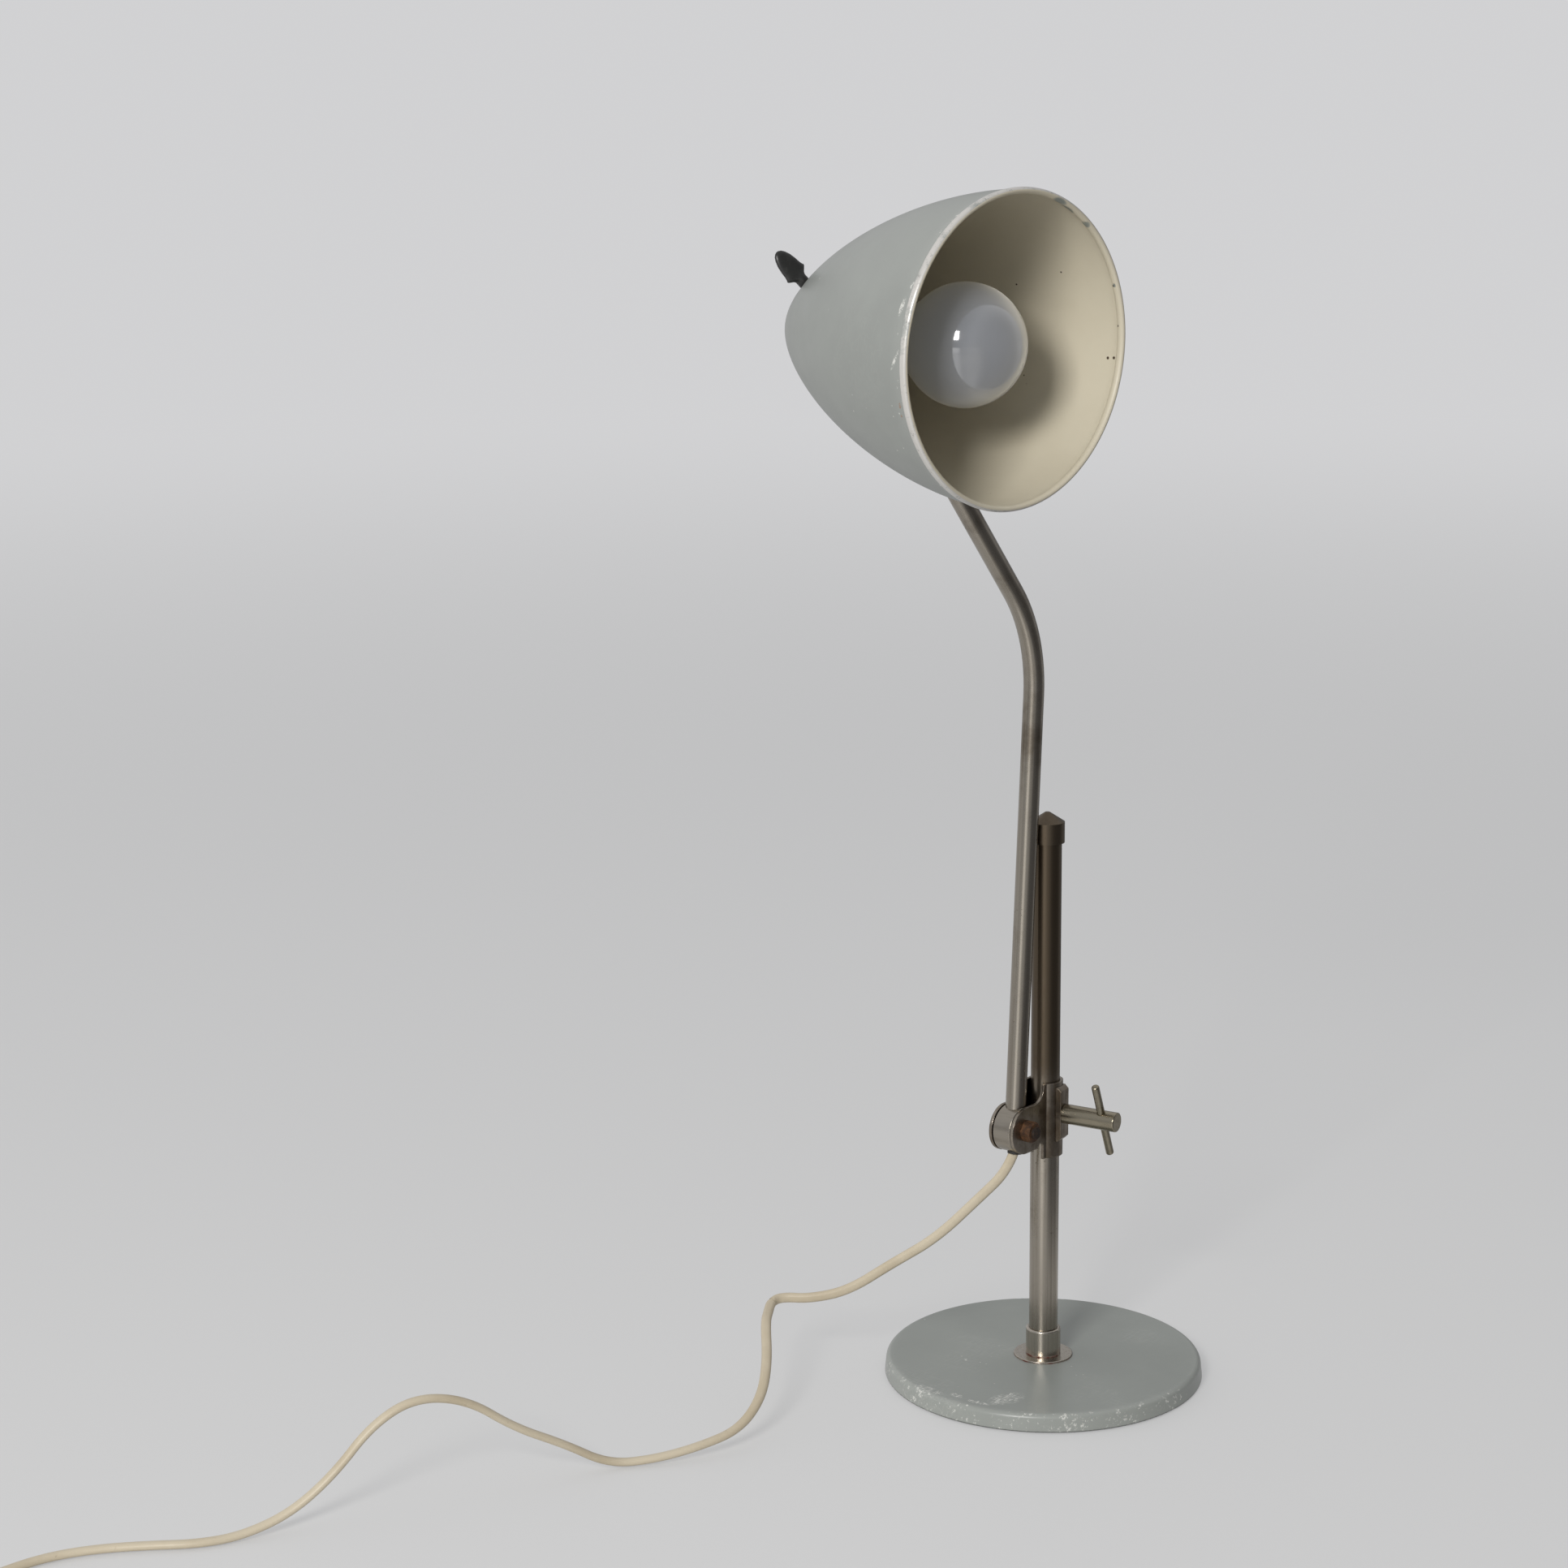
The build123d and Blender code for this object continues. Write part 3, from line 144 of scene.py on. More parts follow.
class Nodes:
    """The node tree of one material or world, with short ways to add to it."""

    def __init__(self, name: str, world: bool = False) -> None:
        """Makes an empty material or world.

        Args:
            name: Its name.
            world: Makes a world.
        """
        self.owner = (bpy.data.worlds if world else bpy.data.materials).new(name)
        self.owner.use_nodes = True
        self.tree = self.owner.node_tree
        self.tree.nodes.clear()

    def feed(self, socket: bpy.types.NodeSocket, value: Any) -> None:
        """Links or sets one input.

        Args:
            socket: The input.
            value: A Value, a number, or a tuple.
        """
        if isinstance(value, Value):
            self.tree.links.new(value.socket, socket)
        elif isinstance(value, tuple) and len(value) == 3 and socket.type == "RGBA":
            socket.default_value = (*value, 1.0)
        else:
            socket.default_value = value

    def add(self, kind: str, settings: dict[str, Any] | None = None,
            inputs: dict[Any, Any] | None = None, output: Any = 0) -> "Value | None":
        """Adds any node.

        Args:
            kind: The node's type.
            settings: Properties that are set first.
            inputs: Values or links by socket name or number.
            output: The output that is returned, by name or number.

        Returns:
            That output, or nothing where the node has none.
        """
        node = self.tree.nodes.new(kind)
        for name, value in (settings or {}).items():
            setattr(node, name, value)
        for key, value in (inputs or {}).items():
            self.feed(node.inputs[key], value)
        return Value(self, node.outputs[output]) if node.outputs else None

    def math(self, operation: str, *terms: Any) -> Value:
        """Math node of one operation."""
        return self.add("ShaderNodeMath", {"operation": operation}, dict(enumerate(terms)))

    def most(self, *values: Any) -> Value:
        """Largest of several values."""
        return reduce(lambda first, second: self.math("MAXIMUM", first, second), values)

    def vector(self, operation: str, *terms: Any, output: Any = 0) -> Value:
        """Vector Math node of one operation."""
        return self.add("ShaderNodeVectorMath", {"operation": operation}, dict(enumerate(terms)), output)

    def dot(self, first: Any, second: Any) -> Value:
        """Dot product of two vectors."""
        return self.vector("DOT_PRODUCT", first, second, output="Value")

    def place(self) -> Value:
        """Point on the piece, in the lamp's frame at rest."""
        return self.add("ShaderNodeTexCoord", output="Object")

    def mapped(self, scale: Point, turn: Point = (0, 0, 0)) -> Value:
        """Object coordinates, scaled and turned, with the turn in radians."""
        return self.add("ShaderNodeMapping", None, {"Vector": self.place(), "Scale": scale, "Rotation": turn})

    def noise(self, scale: float, detail: float = 4, rough: float = 0.55, at: Value | None = None) -> Value:
        """Cloudy noise between 0 and 1, with its scale in features to the metre."""
        inputs = {"Vector": at or self.place(), "Scale": scale, "Detail": detail, "Roughness": rough}
        return self.add("ShaderNodeTexNoise", None, inputs)

    def cells(self, scale: float) -> Value:
        """Distance to the nearest of many scattered points."""
        return self.add("ShaderNodeTexVoronoi", {"feature": "F1"}, {"Vector": self.place(), "Scale": scale})

    def step(self, value: Value, low: float, high: float) -> Value:
        """Smooth rise from 0 at low to 1 at high; falls where low is above high."""
        inputs = {"Value": value, "From Min": low, "From Max": high}
        return self.add("ShaderNodeMapRange", {"interpolation_type": "SMOOTHSTEP"}, inputs)

    def mix(self, share: Any, first: Any, second: Any) -> Value:
        """Colour between two, by the share of the second."""
        return self.add("ShaderNodeMix", {"data_type": "RGBA"}, {0: share, 6: first, 7: second}, 2)

    def axes(self, vector: Value) -> tuple[Value, Value, Value]:
        """The three parts of a vector."""
        node = self.add("ShaderNodeSeparateXYZ", None, {0: vector}).socket.node
        return tuple(Value(self, out) for out in node.outputs)

    def along(self, origin: Point, way: Point) -> Value:
        """Distance from a plane through origin, along a direction, in metres."""
        return self.dot(self.vector("SUBTRACT", self.place(), origin), way)

    def bump(self, height: Value, distance: float, strength: float = 1.0, soft: float = 0.0) -> Value:
        """Surface normal from a height.

        Args:
            height: Height, 0 to 1.
            distance: Depth in metres.
            strength: How strongly it shows.
            soft: Radius that edges are rounded to in the shading.

        Returns:
            The normal.
        """
        values: dict[str, Any] = {"Height": height, "Distance": distance, "Strength": strength}
        if soft:
            values["Normal"] = self.add("ShaderNodeBevel", {"samples": BEVEL_SAMPLES}, {"Radius": soft})
        return self.add("ShaderNodeBump", None, values)

    def surface(self, **sockets: Any) -> bpy.types.Material:
        """Ends the tree in one shader.

        Args:
            sockets: The shader's inputs, with underscores for spaces.

        Returns:
            The finished material.
        """
        inputs = {name.replace("_", " "): value for name, value in sockets.items()}
        shader = self.add("ShaderNodeBsdfPrincipled", None, inputs)
        self.add("ShaderNodeOutputMaterial", None, {"Surface": shader})
        return self.owner


# Finishes
@dataclass(frozen=True)
class WornSpot:
    """Worn place on a skin: its middle and run, and its half sizes along and across the run, in metres."""

    middle: Point
    way: Point
    half_length: float
    half_width: float

    def mask(self, n: Nodes) -> Value:
        """Share of wear at a point: 1 in the middle, 0 outside.

        Args:
            n: The material's nodes.

        Returns:
            The share.
        """
        offset = n.vector("SUBTRACT", n.place(), self.middle)
        run = n.dot(offset, self.way)
        off = n.vector("LENGTH", offset, output="Value")
        size = (off * off - run * run) / self.half_width**2 + run * run / self.half_length**2
        return n.step(size, 1.0, 0.25)


def wear(n: Nodes, spots: Sequence[WornSpot]) -> Value:
    """Wear of one or more spots together."""
    return sum((spot.mask(n) for spot in spots[1:]), spots[0].mask(n))


def scratch_lines(n: Nodes, scale: Point, turn: Point) -> Value:
    """Thin lines that run one way: 1 on a line, 0 between."""
    return n.step(abs(n.noise(1, 2, 0.5, n.mapped(scale, turn)) - 0.5), 0.032, 0.010)


class Finish(ABC):
    """A finish of one or more pieces."""

    @abstractmethod
    def material(self) -> bpy.types.Material:
        """Builds the material."""


@dataclass(frozen=True)
class SatinPaint(Finish):
    """Old grey-green paint, scuffed, with pale chips along one edge and at worn spots, and where asked a dark
    band at its foot that is painted contact shadow.
    """

    name: str
    colour: Colour = srgb(153, 157, 152)
    chip: Colour = srgb(210, 210, 204)
    roughness: float = 0.27
    faint: float = 0.03
    scuffs: tuple[WornSpot, ...] = ()
    scratches: tuple[WornSpot, ...] = ()
    rust: tuple[WornSpot, ...] = ()
    # Height of a dark band at the foot, which is painted contact shadow; 0 leaves it out.
    foot: float = 0.0

    @abstractmethod
    def edge(self, n: Nodes) -> Value:
        """How near a point is to the worn edge, 0 to 1."""

    def material(self) -> bpy.types.Material:
        """Builds the material.

        Returns:
            The material.
        """
        n = Nodes(self.name)
        cloud = n.step(n.noise(14, 5, 0.6), 0.30, 0.72)
        colour = n.mix(cloud, shaded(self.colour, 0.92), shaded(self.colour, 1.05))
        grain = n.step(n.noise(420, 3, 0.6), 0.60, 0.80)
        colour = n.mix(grain * 0.16, colour, shaded(self.colour, 0.70))
        edge = self.edge(n)
        colour = n.mix(edge * 0.12, colour, self.chip)
        ragged = n.noise(820, 5, 0.7)
        chips = n.step(n.noise(430, 6, 0.75) + n.noise(60, 3) * 0.35 + edge * 0.16, 0.89, 0.94)
        chips = chips * n.step(edge, 0.15, 0.55)
        specks = n.step(n.cells(170), 0.085, 0.055) * n.step(n.noise(46, 2), 0.57, 0.63)
        rubbed = wear(n, self.scuffs) * n.step(ragged, 0.42, 0.54)
        lines = n.most(scratch_lines(n, (50, 620, 120), (0, 0, 0.5)),
                       scratch_lines(n, (520, 60, 120), (0, 0, 0.2)))
        scores = n.step(n.noise(18, 2), 0.56, 0.66) * self.faint
        if self.scratches:
            scores = scores + wear(n, self.scratches) * n.step(ragged, 0.30, 0.50)
        worn = n.most(chips, rubbed, lines * scores, specks * 0.7)
        colour = n.mix(worn, colour, self.chip)
        if self.rust:
            colour = n.mix(wear(n, self.rust) * n.step(ragged, 0.46, 0.58), colour, srgb(150, 108, 72))
        # Painted shade: a dark band along the foot stands in for the contact shadow where the base meets the
        # floor.
        if self.foot:
            grime_and_shade = n.step(n.axes(n.place())[2] + ragged * 0.0006, self.foot + 0.0008, self.foot)
            colour = n.mix(grime_and_shade * 0.8, colour, srgb(58, 62, 56))
        rough = self.roughness + n.noise(55, 4) * 0.14 + worn * 0.14
        height = n.noise(1300, 2) * 0.5 - worn * 0.5
        return n.surface(Base_Color=colour, Roughness=rough, Normal=n.bump(height, 0.00008, 0.30))


@dataclass(frozen=True)
class BasePaint(SatinPaint):
    """Satin paint of the base, chipped round its upper edge and scratched at the front, with a painted
    contact shadow along its foot.
    """

    name: str = "base_paint"
    colour: Colour = srgb(147, 151, 146)
    faint: float = 0.10
    # Dark band at the foot: painted contact shadow.
    foot: float = 0.0009
    rim_radius: float = 0.0785
    rim_reach: float = 0.0035
    scratches: tuple[WornSpot, ...] = (
        WornSpot((0.0600, 0.0205, 0.0094), (0.97, -0.24, 0), 0.012, 0.0075),
        WornSpot((0.0745, -0.0165, 0.0092), (0.15, 0.99, 0), 0.011, 0.0030),
        WornSpot((0.0721, -0.0018, 0.0094), (0.05, 1.0, 0), 0.005, 0.0022),
        WornSpot((0.0728, 0.0120, 0.0094), (-0.1, 0.99, 0), 0.008, 0.0020),
    )
    scuffs: tuple[WornSpot, ...] = (
        WornSpot((0.0690, 0.0395, 0.0075), (-0.5, 0.87, 0), 0.0020, 0.0012),
        WornSpot((0.0722, 0.0340, 0.0055), (-0.43, 0.9, 0), 0.0016, 0.0009),
        WornSpot((0.0785, 0.0120, 0.0078), (-0.15, 0.99, 0), 0.0012, 0.0008),
        WornSpot((0.0315, -0.0261, 0.0094), (0.6, 0.8, 0), 0.0020, 0.0010),
    )

    def edge(self, n: Nodes) -> Value:
        """Nearness to the disc's rim, strongest at the front.

        Args:
            n: The material's nodes.

        Returns:
            The nearness, 0 to 1.
        """
        x, y, _ = n.axes(n.place())
        radius = (x * x + y * y) ** 0.5
        rim = n.step(radius, self.rim_radius - self.rim_reach, self.rim_radius + self.rim_reach * 0.4)
        front = n.step(x * 0.95 + y * 0.30, -0.02, 0.07)
        return rim * (0.30 + front * 0.70)


@dataclass(frozen=True)
class ShadePaint(SatinPaint):
    """Satin paint of the shade's outside, scuffed near its hem."""

    name: str = "shade_paint"
    colour: Colour = srgb(149, 152, 148)
    roughness: float = 0.34
    mouth: Point = (0, 0, 0)
    way: Point = (0, 1, 0)
    scuffs: tuple[WornSpot, ...] = (
        WornSpot((0.2152, 0.0762, 0.5597), (0.284, -0.222, -0.933), 0.0048, 0.0014),
        WornSpot((0.2122, 0.0792, 0.5683), (0.35, -0.25, -0.90), 0.0020, 0.0011),
        WornSpot((0.2187, 0.0750, 0.5377), (-0.098, -0.497, -0.862), 0.0058, 0.0009),
        WornSpot((0.2039, 0.0792, 0.4940), (-0.66, 0.15, -0.73), 0.0026, 0.0012),
        WornSpot((0.1979, 0.0806, 0.4873), (-0.66, 0.16, -0.73), 0.0026, 0.0010),
    )
    rust: tuple[WornSpot, ...] = (
        WornSpot((0.2162, 0.0758, 0.5184), (-0.3, -0.1, -0.95), 0.0016, 0.0009),
        WornSpot((0.2144, 0.0753, 0.5135), (-0.3, -0.1, -0.95), 0.0014, 0.0009),
    )

    def edge(self, n: Nodes) -> Value:
        """Nearness to the shade's mouth."""
        return n.step(n.along(self.mouth, self.way), -0.012, -0.001) * 0.85


@dataclass(frozen=True)
class WornHem(Finish):
    """Rolled hem with its paint rubbed through to dull metal."""

    paint: Colour = srgb(158, 161, 157)
    bare: Colour = srgb(208, 205, 200)
    grime_and_shade: Colour = srgb(112, 112, 110)

    def material(self) -> bpy.types.Material:
        """Builds the material.

        Returns:
            The material.
        """
        n = Nodes("worn_hem")
        rub = n.step(n.noise(70, 6, 0.7), 0.34, 0.50)
        dirt = n.step(n.noise(420, 5, 0.7), 0.56, 0.70)
        colour = n.mix(rub, self.paint, self.bare)
        colour = n.mix(dirt * 0.6, colour, self.grime_and_shade)
        rough = 0.42 - rub * 0.10 + dirt * 0.2
        return n.surface(Base_Color=colour, Roughness=rough, Metallic=rub * (1 - dirt) * 0.25,
                         Normal=n.bump(n.noise(500, 4), 0.0001, 0.4))


@dataclass(frozen=True)
class CreamEnamel(Finish):
    """Cream paint inside the shade, with a few dark specks, and chipped to an older coat at the hem."""

    chips: tuple[WornSpot, ...]
    dots: tuple[WornSpot, ...]
    colour: Colour = srgb(213, 205, 184)
    stain: Colour = srgb(178, 165, 138)
    older: Colour = srgb(136, 141, 135)

    def material(self) -> bpy.types.Material:
        """Builds the material.

        Returns:
            The material.
        """
        n = Nodes("cream_enamel")
        cloud = n.step(n.noise(11, 5, 0.6), 0.40, 0.78)
        colour = n.mix(cloud * 0.26, self.colour, self.stain)
        specks = n.step(n.cells(110), 0.055, 0.035) * n.step(n.noise(30, 1), 0.60, 0.66)
        chipped = wear(n, self.chips) * n.step(n.noise(300, 5, 0.7), 0.36, 0.41)
        colour = n.mix(chipped, colour, self.older)
        colour = n.mix(n.most(specks * 0.8, wear(n, self.dots)), colour, srgb(66, 50, 36))
        brushed = n.noise(1, 4, 0.6, n.mapped((60, 24, 60)))
        rough = 0.36 + brushed * 0.16
        height = brushed * 0.6 + n.noise(700, 2) * 0.2 - chipped * 0.8
        return n.surface(Base_Color=colour, Roughness=rough, Normal=n.bump(height, 0.00025, 0.35))


class Tarnish(Enum):
    """How far a bright part has dulled."""

    LIGHT = 0.15
    WORN = 0.40
    DARK = 0.62


@dataclass(frozen=True)
class WornNickel(Finish):
    """Nickel plate that has dulled and browned in patches, with rust along its seams, and where asked
    darkened above a height as painted shade.
    """

    name: str
    tarnish: Tarnish
    stretch: Point = (700, 700, 8)
    bright: Colour = srgb(162, 155, 144)
    brown: Colour = srgb(88, 76, 61)
    roughness: float = 0.20
    seams: tuple[float, ...] = ()
    # Height above which the plate is darkened toward the brown: painted shade.
    shade_above: float | None = None
    soft: float = 0.0

    def material(self) -> bpy.types.Material:
        """Builds the material.

        Returns:
            The material.
        """
        n = Nodes(self.name)
        level = self.tarnish.value
        drawn = n.noise(1, 4, 0.6, n.mapped(self.stretch))
        patch = n.noise(26, 6, 0.68)
        pits = n.step(n.cells(330), 0.16, 0.08) * n.step(n.noise(75, 3), 0.52, 0.62)
        film = n.step(patch + drawn * 0.22, 0.86 - level * 0.72, 1.08 - level * 0.50)
        colour = n.mix(film * (0.30 + level), self.bright, self.brown)
        colour = n.mix(n.step(drawn, 0.42, 0.72) * 0.30, colour, self.brown)
        colour = n.mix(pits * (0.25 + level * 0.6), colour, srgb(70, 58, 45))
        rust: Any = 0.0
        if self.seams:
            _, _, z = n.axes(n.place())
            creep = n.step(n.noise(190, 4, 0.65), 0.36, 0.56)
            rust = sum(n.step(abs(z - seam), 0.0008, 0.0003) for seam in self.seams) * creep
            colour = n.mix(rust, colour, srgb(96, 46, 32))
        # Painted shade: above the given height the plate darkens toward the brown, standing in for the arm's
        # shadow and dark reflection on the upper post and its cap.
        upper_shade: Any = 0.0
        if self.shade_above is not None:
            upper_shade = n.step(n.axes(n.place())[2] + patch * 0.03, self.shade_above, self.shade_above + 0.05)
            colour = n.mix(upper_shade * 0.92, colour, self.brown)
        rough = self.roughness + film * 0.10 + drawn * 0.12 + pits * 0.2 + rust * 0.3 + upper_shade * 0.10
        height = drawn * 0.4 - pits * 0.6
        return n.surface(Base_Color=colour, Metallic=1 - rust * 0.8 if self.seams else 1.0, Roughness=rough,
                         Normal=n.bump(height, 0.00006, 0.30, self.soft))


@dataclass(frozen=True)
class RustedSteel(Finish):
    """Steel under brown rust."""

    name: str
    deep: Colour
    bloom: Colour

    def material(self) -> bpy.types.Material:
        """Builds the material.

        Returns:
            The material.
        """
        n = Nodes(self.name)
        cloud = n.noise(420, 6, 0.7)
        colour = n.mix(n.step(cloud, 0.36, 0.66), self.deep, self.bloom)
        colour = n.mix(n.step(n.noise(900, 3), 0.62, 0.74) * 0.6, colour, shaded(self.deep, 0.5))
        return n.surface(Base_Color=colour, Metallic=0.25, Roughness=0.50 + cloud * 0.3,
                         Normal=n.bump(cloud, 0.0002, 0.6))


@dataclass(frozen=True)
class Moulding(Finish):
    """Moulded plastic: a body colour, fine grain, dust and handling wear."""

    name: str
    colour: Colour
    wear: Colour
    roughness: float = 0.32
    grain: float = 0.00004

    def material(self) -> bpy.types.Material:
        """Builds the material.

        Returns:
            The material.
        """
        n = Nodes(self.name)
        flow = n.noise(90, 5, 0.62)
        rub = n.step(n.noise(260, 5, 0.7), 0.57, 0.72)
        colour = n.mix(n.step(flow, 0.4, 0.75) * 0.5, self.colour, self.wear)
        colour = n.mix(rub * 0.35, colour, self.wear)
        rough = self.roughness + flow * 0.14 + rub * 0.12
        return n.surface(Base_Color=colour, Roughness=rough, Normal=n.bump(n.noise(1500, 3), self.grain, 0.5))


@dataclass(frozen=True)
class OpalGlass(Finish):
    """Opal glass with a smooth skin, a faint blue cast and a pale edge; its grey body colour is partly
    painted shade, and a painted glow stands in for light carried through it.
    """

    # The grey-blue body colour is darker than opal glass under any lamp: partly the light the glass lets
    # through, partly painted shade of the bulb deep inside the shade.
    colour: Colour = srgb(122, 125, 132)
    cap_side: Colour = srgb(134, 132, 125)
    # Emission: an even painted glow of the unlit bulb, standing in for light carried through the glass.
    painted_glow: Colour = (0.054, 0.054, 0.050)
    pale_edge: Colour = (1.0, 0.97, 0.90)

    def material(self) -> bpy.types.Material:
        """Builds the material.

        Returns:
            The material.
        """
        n = Nodes("opal_glass")
        cloud = n.noise(24, 3, 0.5)
        colour = n.mix(n.step(cloud, 0.45, 0.75) * 0.5, self.colour, self.cap_side)
        dust = n.step(n.noise(260, 5, 0.7), 0.6, 0.8)
        colour = n.mix(dust * 0.10, colour, srgb(170, 164, 150))
        return n.surface(Base_Color=colour, Roughness=0.12 + dust * 0.10,
                         Coat_Weight=1.0, Coat_Roughness=0.02, Coat_IOR=1.7,
                         Emission_Color=self.painted_glow, Emission_Strength=1.0,
                         Sheen_Weight=0.85, Sheen_Roughness=0.5, Sheen_Tint=self.pale_edge)


@dataclass(frozen=True)
class TwinFlex(Finish):
    """Cream plastic covering of a flat twin flex, yellowed and a little grubby."""

    colour: Colour = srgb(208, 196, 172)
    grime_and_shade: Colour = srgb(176, 160, 131)

    def material(self) -> bpy.types.Material:
        """Builds the material.

        Returns:
            The material.
        """
        n = Nodes("twin_flex")
        aged = n.step(n.noise(16, 5, 0.62), 0.40, 0.72)
        colour = n.mix(aged * 0.55, self.colour, self.grime_and_shade)
        marks = n.step(n.noise(240, 5, 0.7), 0.62, 0.74)
        colour = n.mix(marks * 0.35, colour, srgb(142, 122, 92))
        return n.surface(Base_Color=colour, Roughness=0.42 + marks * 0.2 + aged * 0.08,
                         Normal=n.bump(n.noise(900, 3), 0.00006, 0.4))


@dataclass(frozen=True)
class Felt(Finish):
    """Pressed felt."""

    deep: Colour = srgb(36, 44, 38)
    pale: Colour = srgb(76, 84, 74)

    def material(self) -> bpy.types.Material:
        """Builds the material.

        Returns:
            The material.
        """
        n = Nodes("felt")
        fibre = n.noise(1600, 5, 0.75)
        colour = n.mix(fibre, self.deep, self.pale)
        return n.surface(Base_Color=colour, Roughness=0.95, Normal=n.bump(fibre, 0.0004, 0.8))


@dataclass(frozen=True)
class PlainMetal(Finish):
    """Bare metal with a turned or drawn grain."""

    name: str
    colour: Colour
    stain: Colour
    roughness: float = 0.30

    def material(self) -> bpy.types.Material:
        """Builds the material.

        Returns:
            The material.
        """
        n = Nodes(self.name)
        grain = n.noise(1, 4, 0.6, n.mapped((900, 900, 120)))
        patch = n.step(n.noise(130, 5, 0.65), 0.48, 0.70)
        colour = n.mix(patch * 0.6, self.colour, self.stain)
        rough = self.roughness + grain * 0.2 + patch * 0.1
        return n.surface(Base_Color=colour, Metallic=1.0, Roughness=rough, Normal=n.bump(grain, 0.00004, 0.4))


@dataclass(frozen=True)
class ClearGlass(Finish):
    """Clear glass of the bulb's inner stem."""

    colour: Colour = srgb(222, 228, 226)

    def material(self) -> bpy.types.Material:
        """Builds the material.

        Returns:
            The material.
        """
        n = Nodes("clear_glass")
        haze = n.noise(300, 3)
        return n.surface(Base_Color=self.colour, Roughness=0.05 + haze * 0.06, Alpha=0.35 + haze * 0.1)


# Meshes
def new_piece(name: str, mesh: bpy.types.Mesh, *materials: bpy.types.Material) -> bpy.types.Object:
    """Puts a mesh into the scene as an object at the origin.

    Args:
        name: The piece's name.
        mesh: Its mesh, placed in the lamp's frame.
        materials: Its materials, by face index.

    Returns:
        The object.
    """
    for material in materials:
        mesh.materials.append(material)
    piece = bpy.data.objects.new(name, mesh)
    bpy.context.scene.collection.objects.link(piece)
    return piece


def finish_mesh(bm: bmesh.types.BMesh, name: str, sharp: float = 40) -> bpy.types.Mesh:
    """Closes, smooths and stores a mesh.

    Args:
        bm: The mesh in the making.
        name: Name of the stored mesh.
        sharp: Edges that turn by more than this many degrees stay sharp.

    Returns:
        The stored mesh.
    """
    bmesh.ops.remove_doubles(bm, verts=bm.verts, dist=1e-7)
    bmesh.ops.recalc_face_normals(bm, faces=bm.faces)
    for face in bm.faces:
        face.smooth = True
    mesh = bpy.data.meshes.new(name)
    bm.to_mesh(mesh)
    bm.free()
    mesh.set_sharp_from_angle(angle=math.radians(sharp))
    return mesh


def loft(rings: Sequence[Sequence[Vector]], slots: Sequence[int] | None = None) -> bmesh.types.BMesh:
    """Skins closed rings of equal count and caps both ends.

    Args:
        rings: Rings of points in order.
        slots: Material index of each strip between two rings.

    Returns:
        The mesh in the making.
    """
    bm = bmesh.new()
    made = [[bm.verts.new(point) for point in ring] for ring in rings]
    for strip, (first, second) in enumerate(zip(made, made[1:])):
        for k in range(len(first)):
            after = (k + 1) % len(first)
            face = bm.faces.new((first[k], first[after], second[after], second[k]))
            face.material_index = slots[strip] if slots else 0
    bm.faces.new(made[0])
    bm.faces.new(made[-1])
    return bm


def lathe(profile: Sequence[tuple[float, float]], place: Matrix, sides: int,
          slots: Sequence[int] | None = None) -> bmesh.types.BMesh:
    """Turns a profile about a frame's Z axis.

    Args:
        profile: (radius, height) points in millimetres.
        place: Frame of the axis.
        sides: Points round the axis.
        slots: Material index of each strip.

    Returns:
        The mesh in the making.
    """
    angles = [2 * math.pi * k / sides for k in range(sides)]
    rings = [
        [place @ (Vector((r * math.cos(a), r * math.sin(a), z)) * MM) for a in angles] for r, z in profile
    ]
    return loft(rings, slots)


def basis(origin: Vector, x_way: Vector, z_way: Vector) -> Matrix:
    """Frame from an origin in millimetres and two directions.

    Args:
        origin: Origin, in millimetres.
        x_way: Direction of X.
        z_way: Direction of Z.

    Returns:
        The frame, in metres.
    """
    z = z_way.normalized()
    x = (x_way - z * x_way.dot(z)).normalized()
    turn = Matrix((x, z.cross(x), z)).transposed().to_4x4()
    return Matrix.Translation(origin * MM) @ turn


def dress(finish: Finish, *names: str) -> None:
    """Gives CAD nodes a finish.

    Args:
        finish: The finish.
        names: The nodes.
    """
    material = finish.material()
    for name in names:
        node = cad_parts[name]
        if not node.material_slots:
            node.data.materials.append(material)
        for slot in node.material_slots:
            slot.material = material
        LOG.info("%s dressed in %s", name, material.name)


# Sub-assemblies
PLUG_CREAM: tuple[Colour, Colour, float] = (srgb(222, 211, 186), srgb(188, 172, 138), 0.42)


@dataclass
class Stand:
    """Base, post and their fittings."""

    bright: dict[str, tuple[float, ...]] = field(
        default_factory=lambda: {"flange_washer": (0.0095,), "post_ferrule": (0.0105,), "post_cap": ()})
    plain: tuple[str, ...] = ("base_bolt", "base_washer", "post_plug")
    # Height from which the post and its cap are darkened: painted shade of the arm beside them.
    shade_above: float = 0.14

    def dress(self) -> None:
        """Dresses the CAD nodes."""
        dress(BasePaint(), "base_disc")
        dress(Felt(), "base_felt")
        for name, seams in self.bright.items():
            dress(WornNickel(f"{name}_nickel", Tarnish.LIGHT, bright=srgb(184, 177, 166), seams=seams,
                             shade_above=self.shade_above if name == "post_cap" else None), name)
        dress(WornNickel("post_nickel", Tarnish.WORN, shade_above=self.shade_above), "post_tube")
        dress(PlainMetal("plain_steel", srgb(170, 168, 162), srgb(112, 104, 92)), *self.plain)


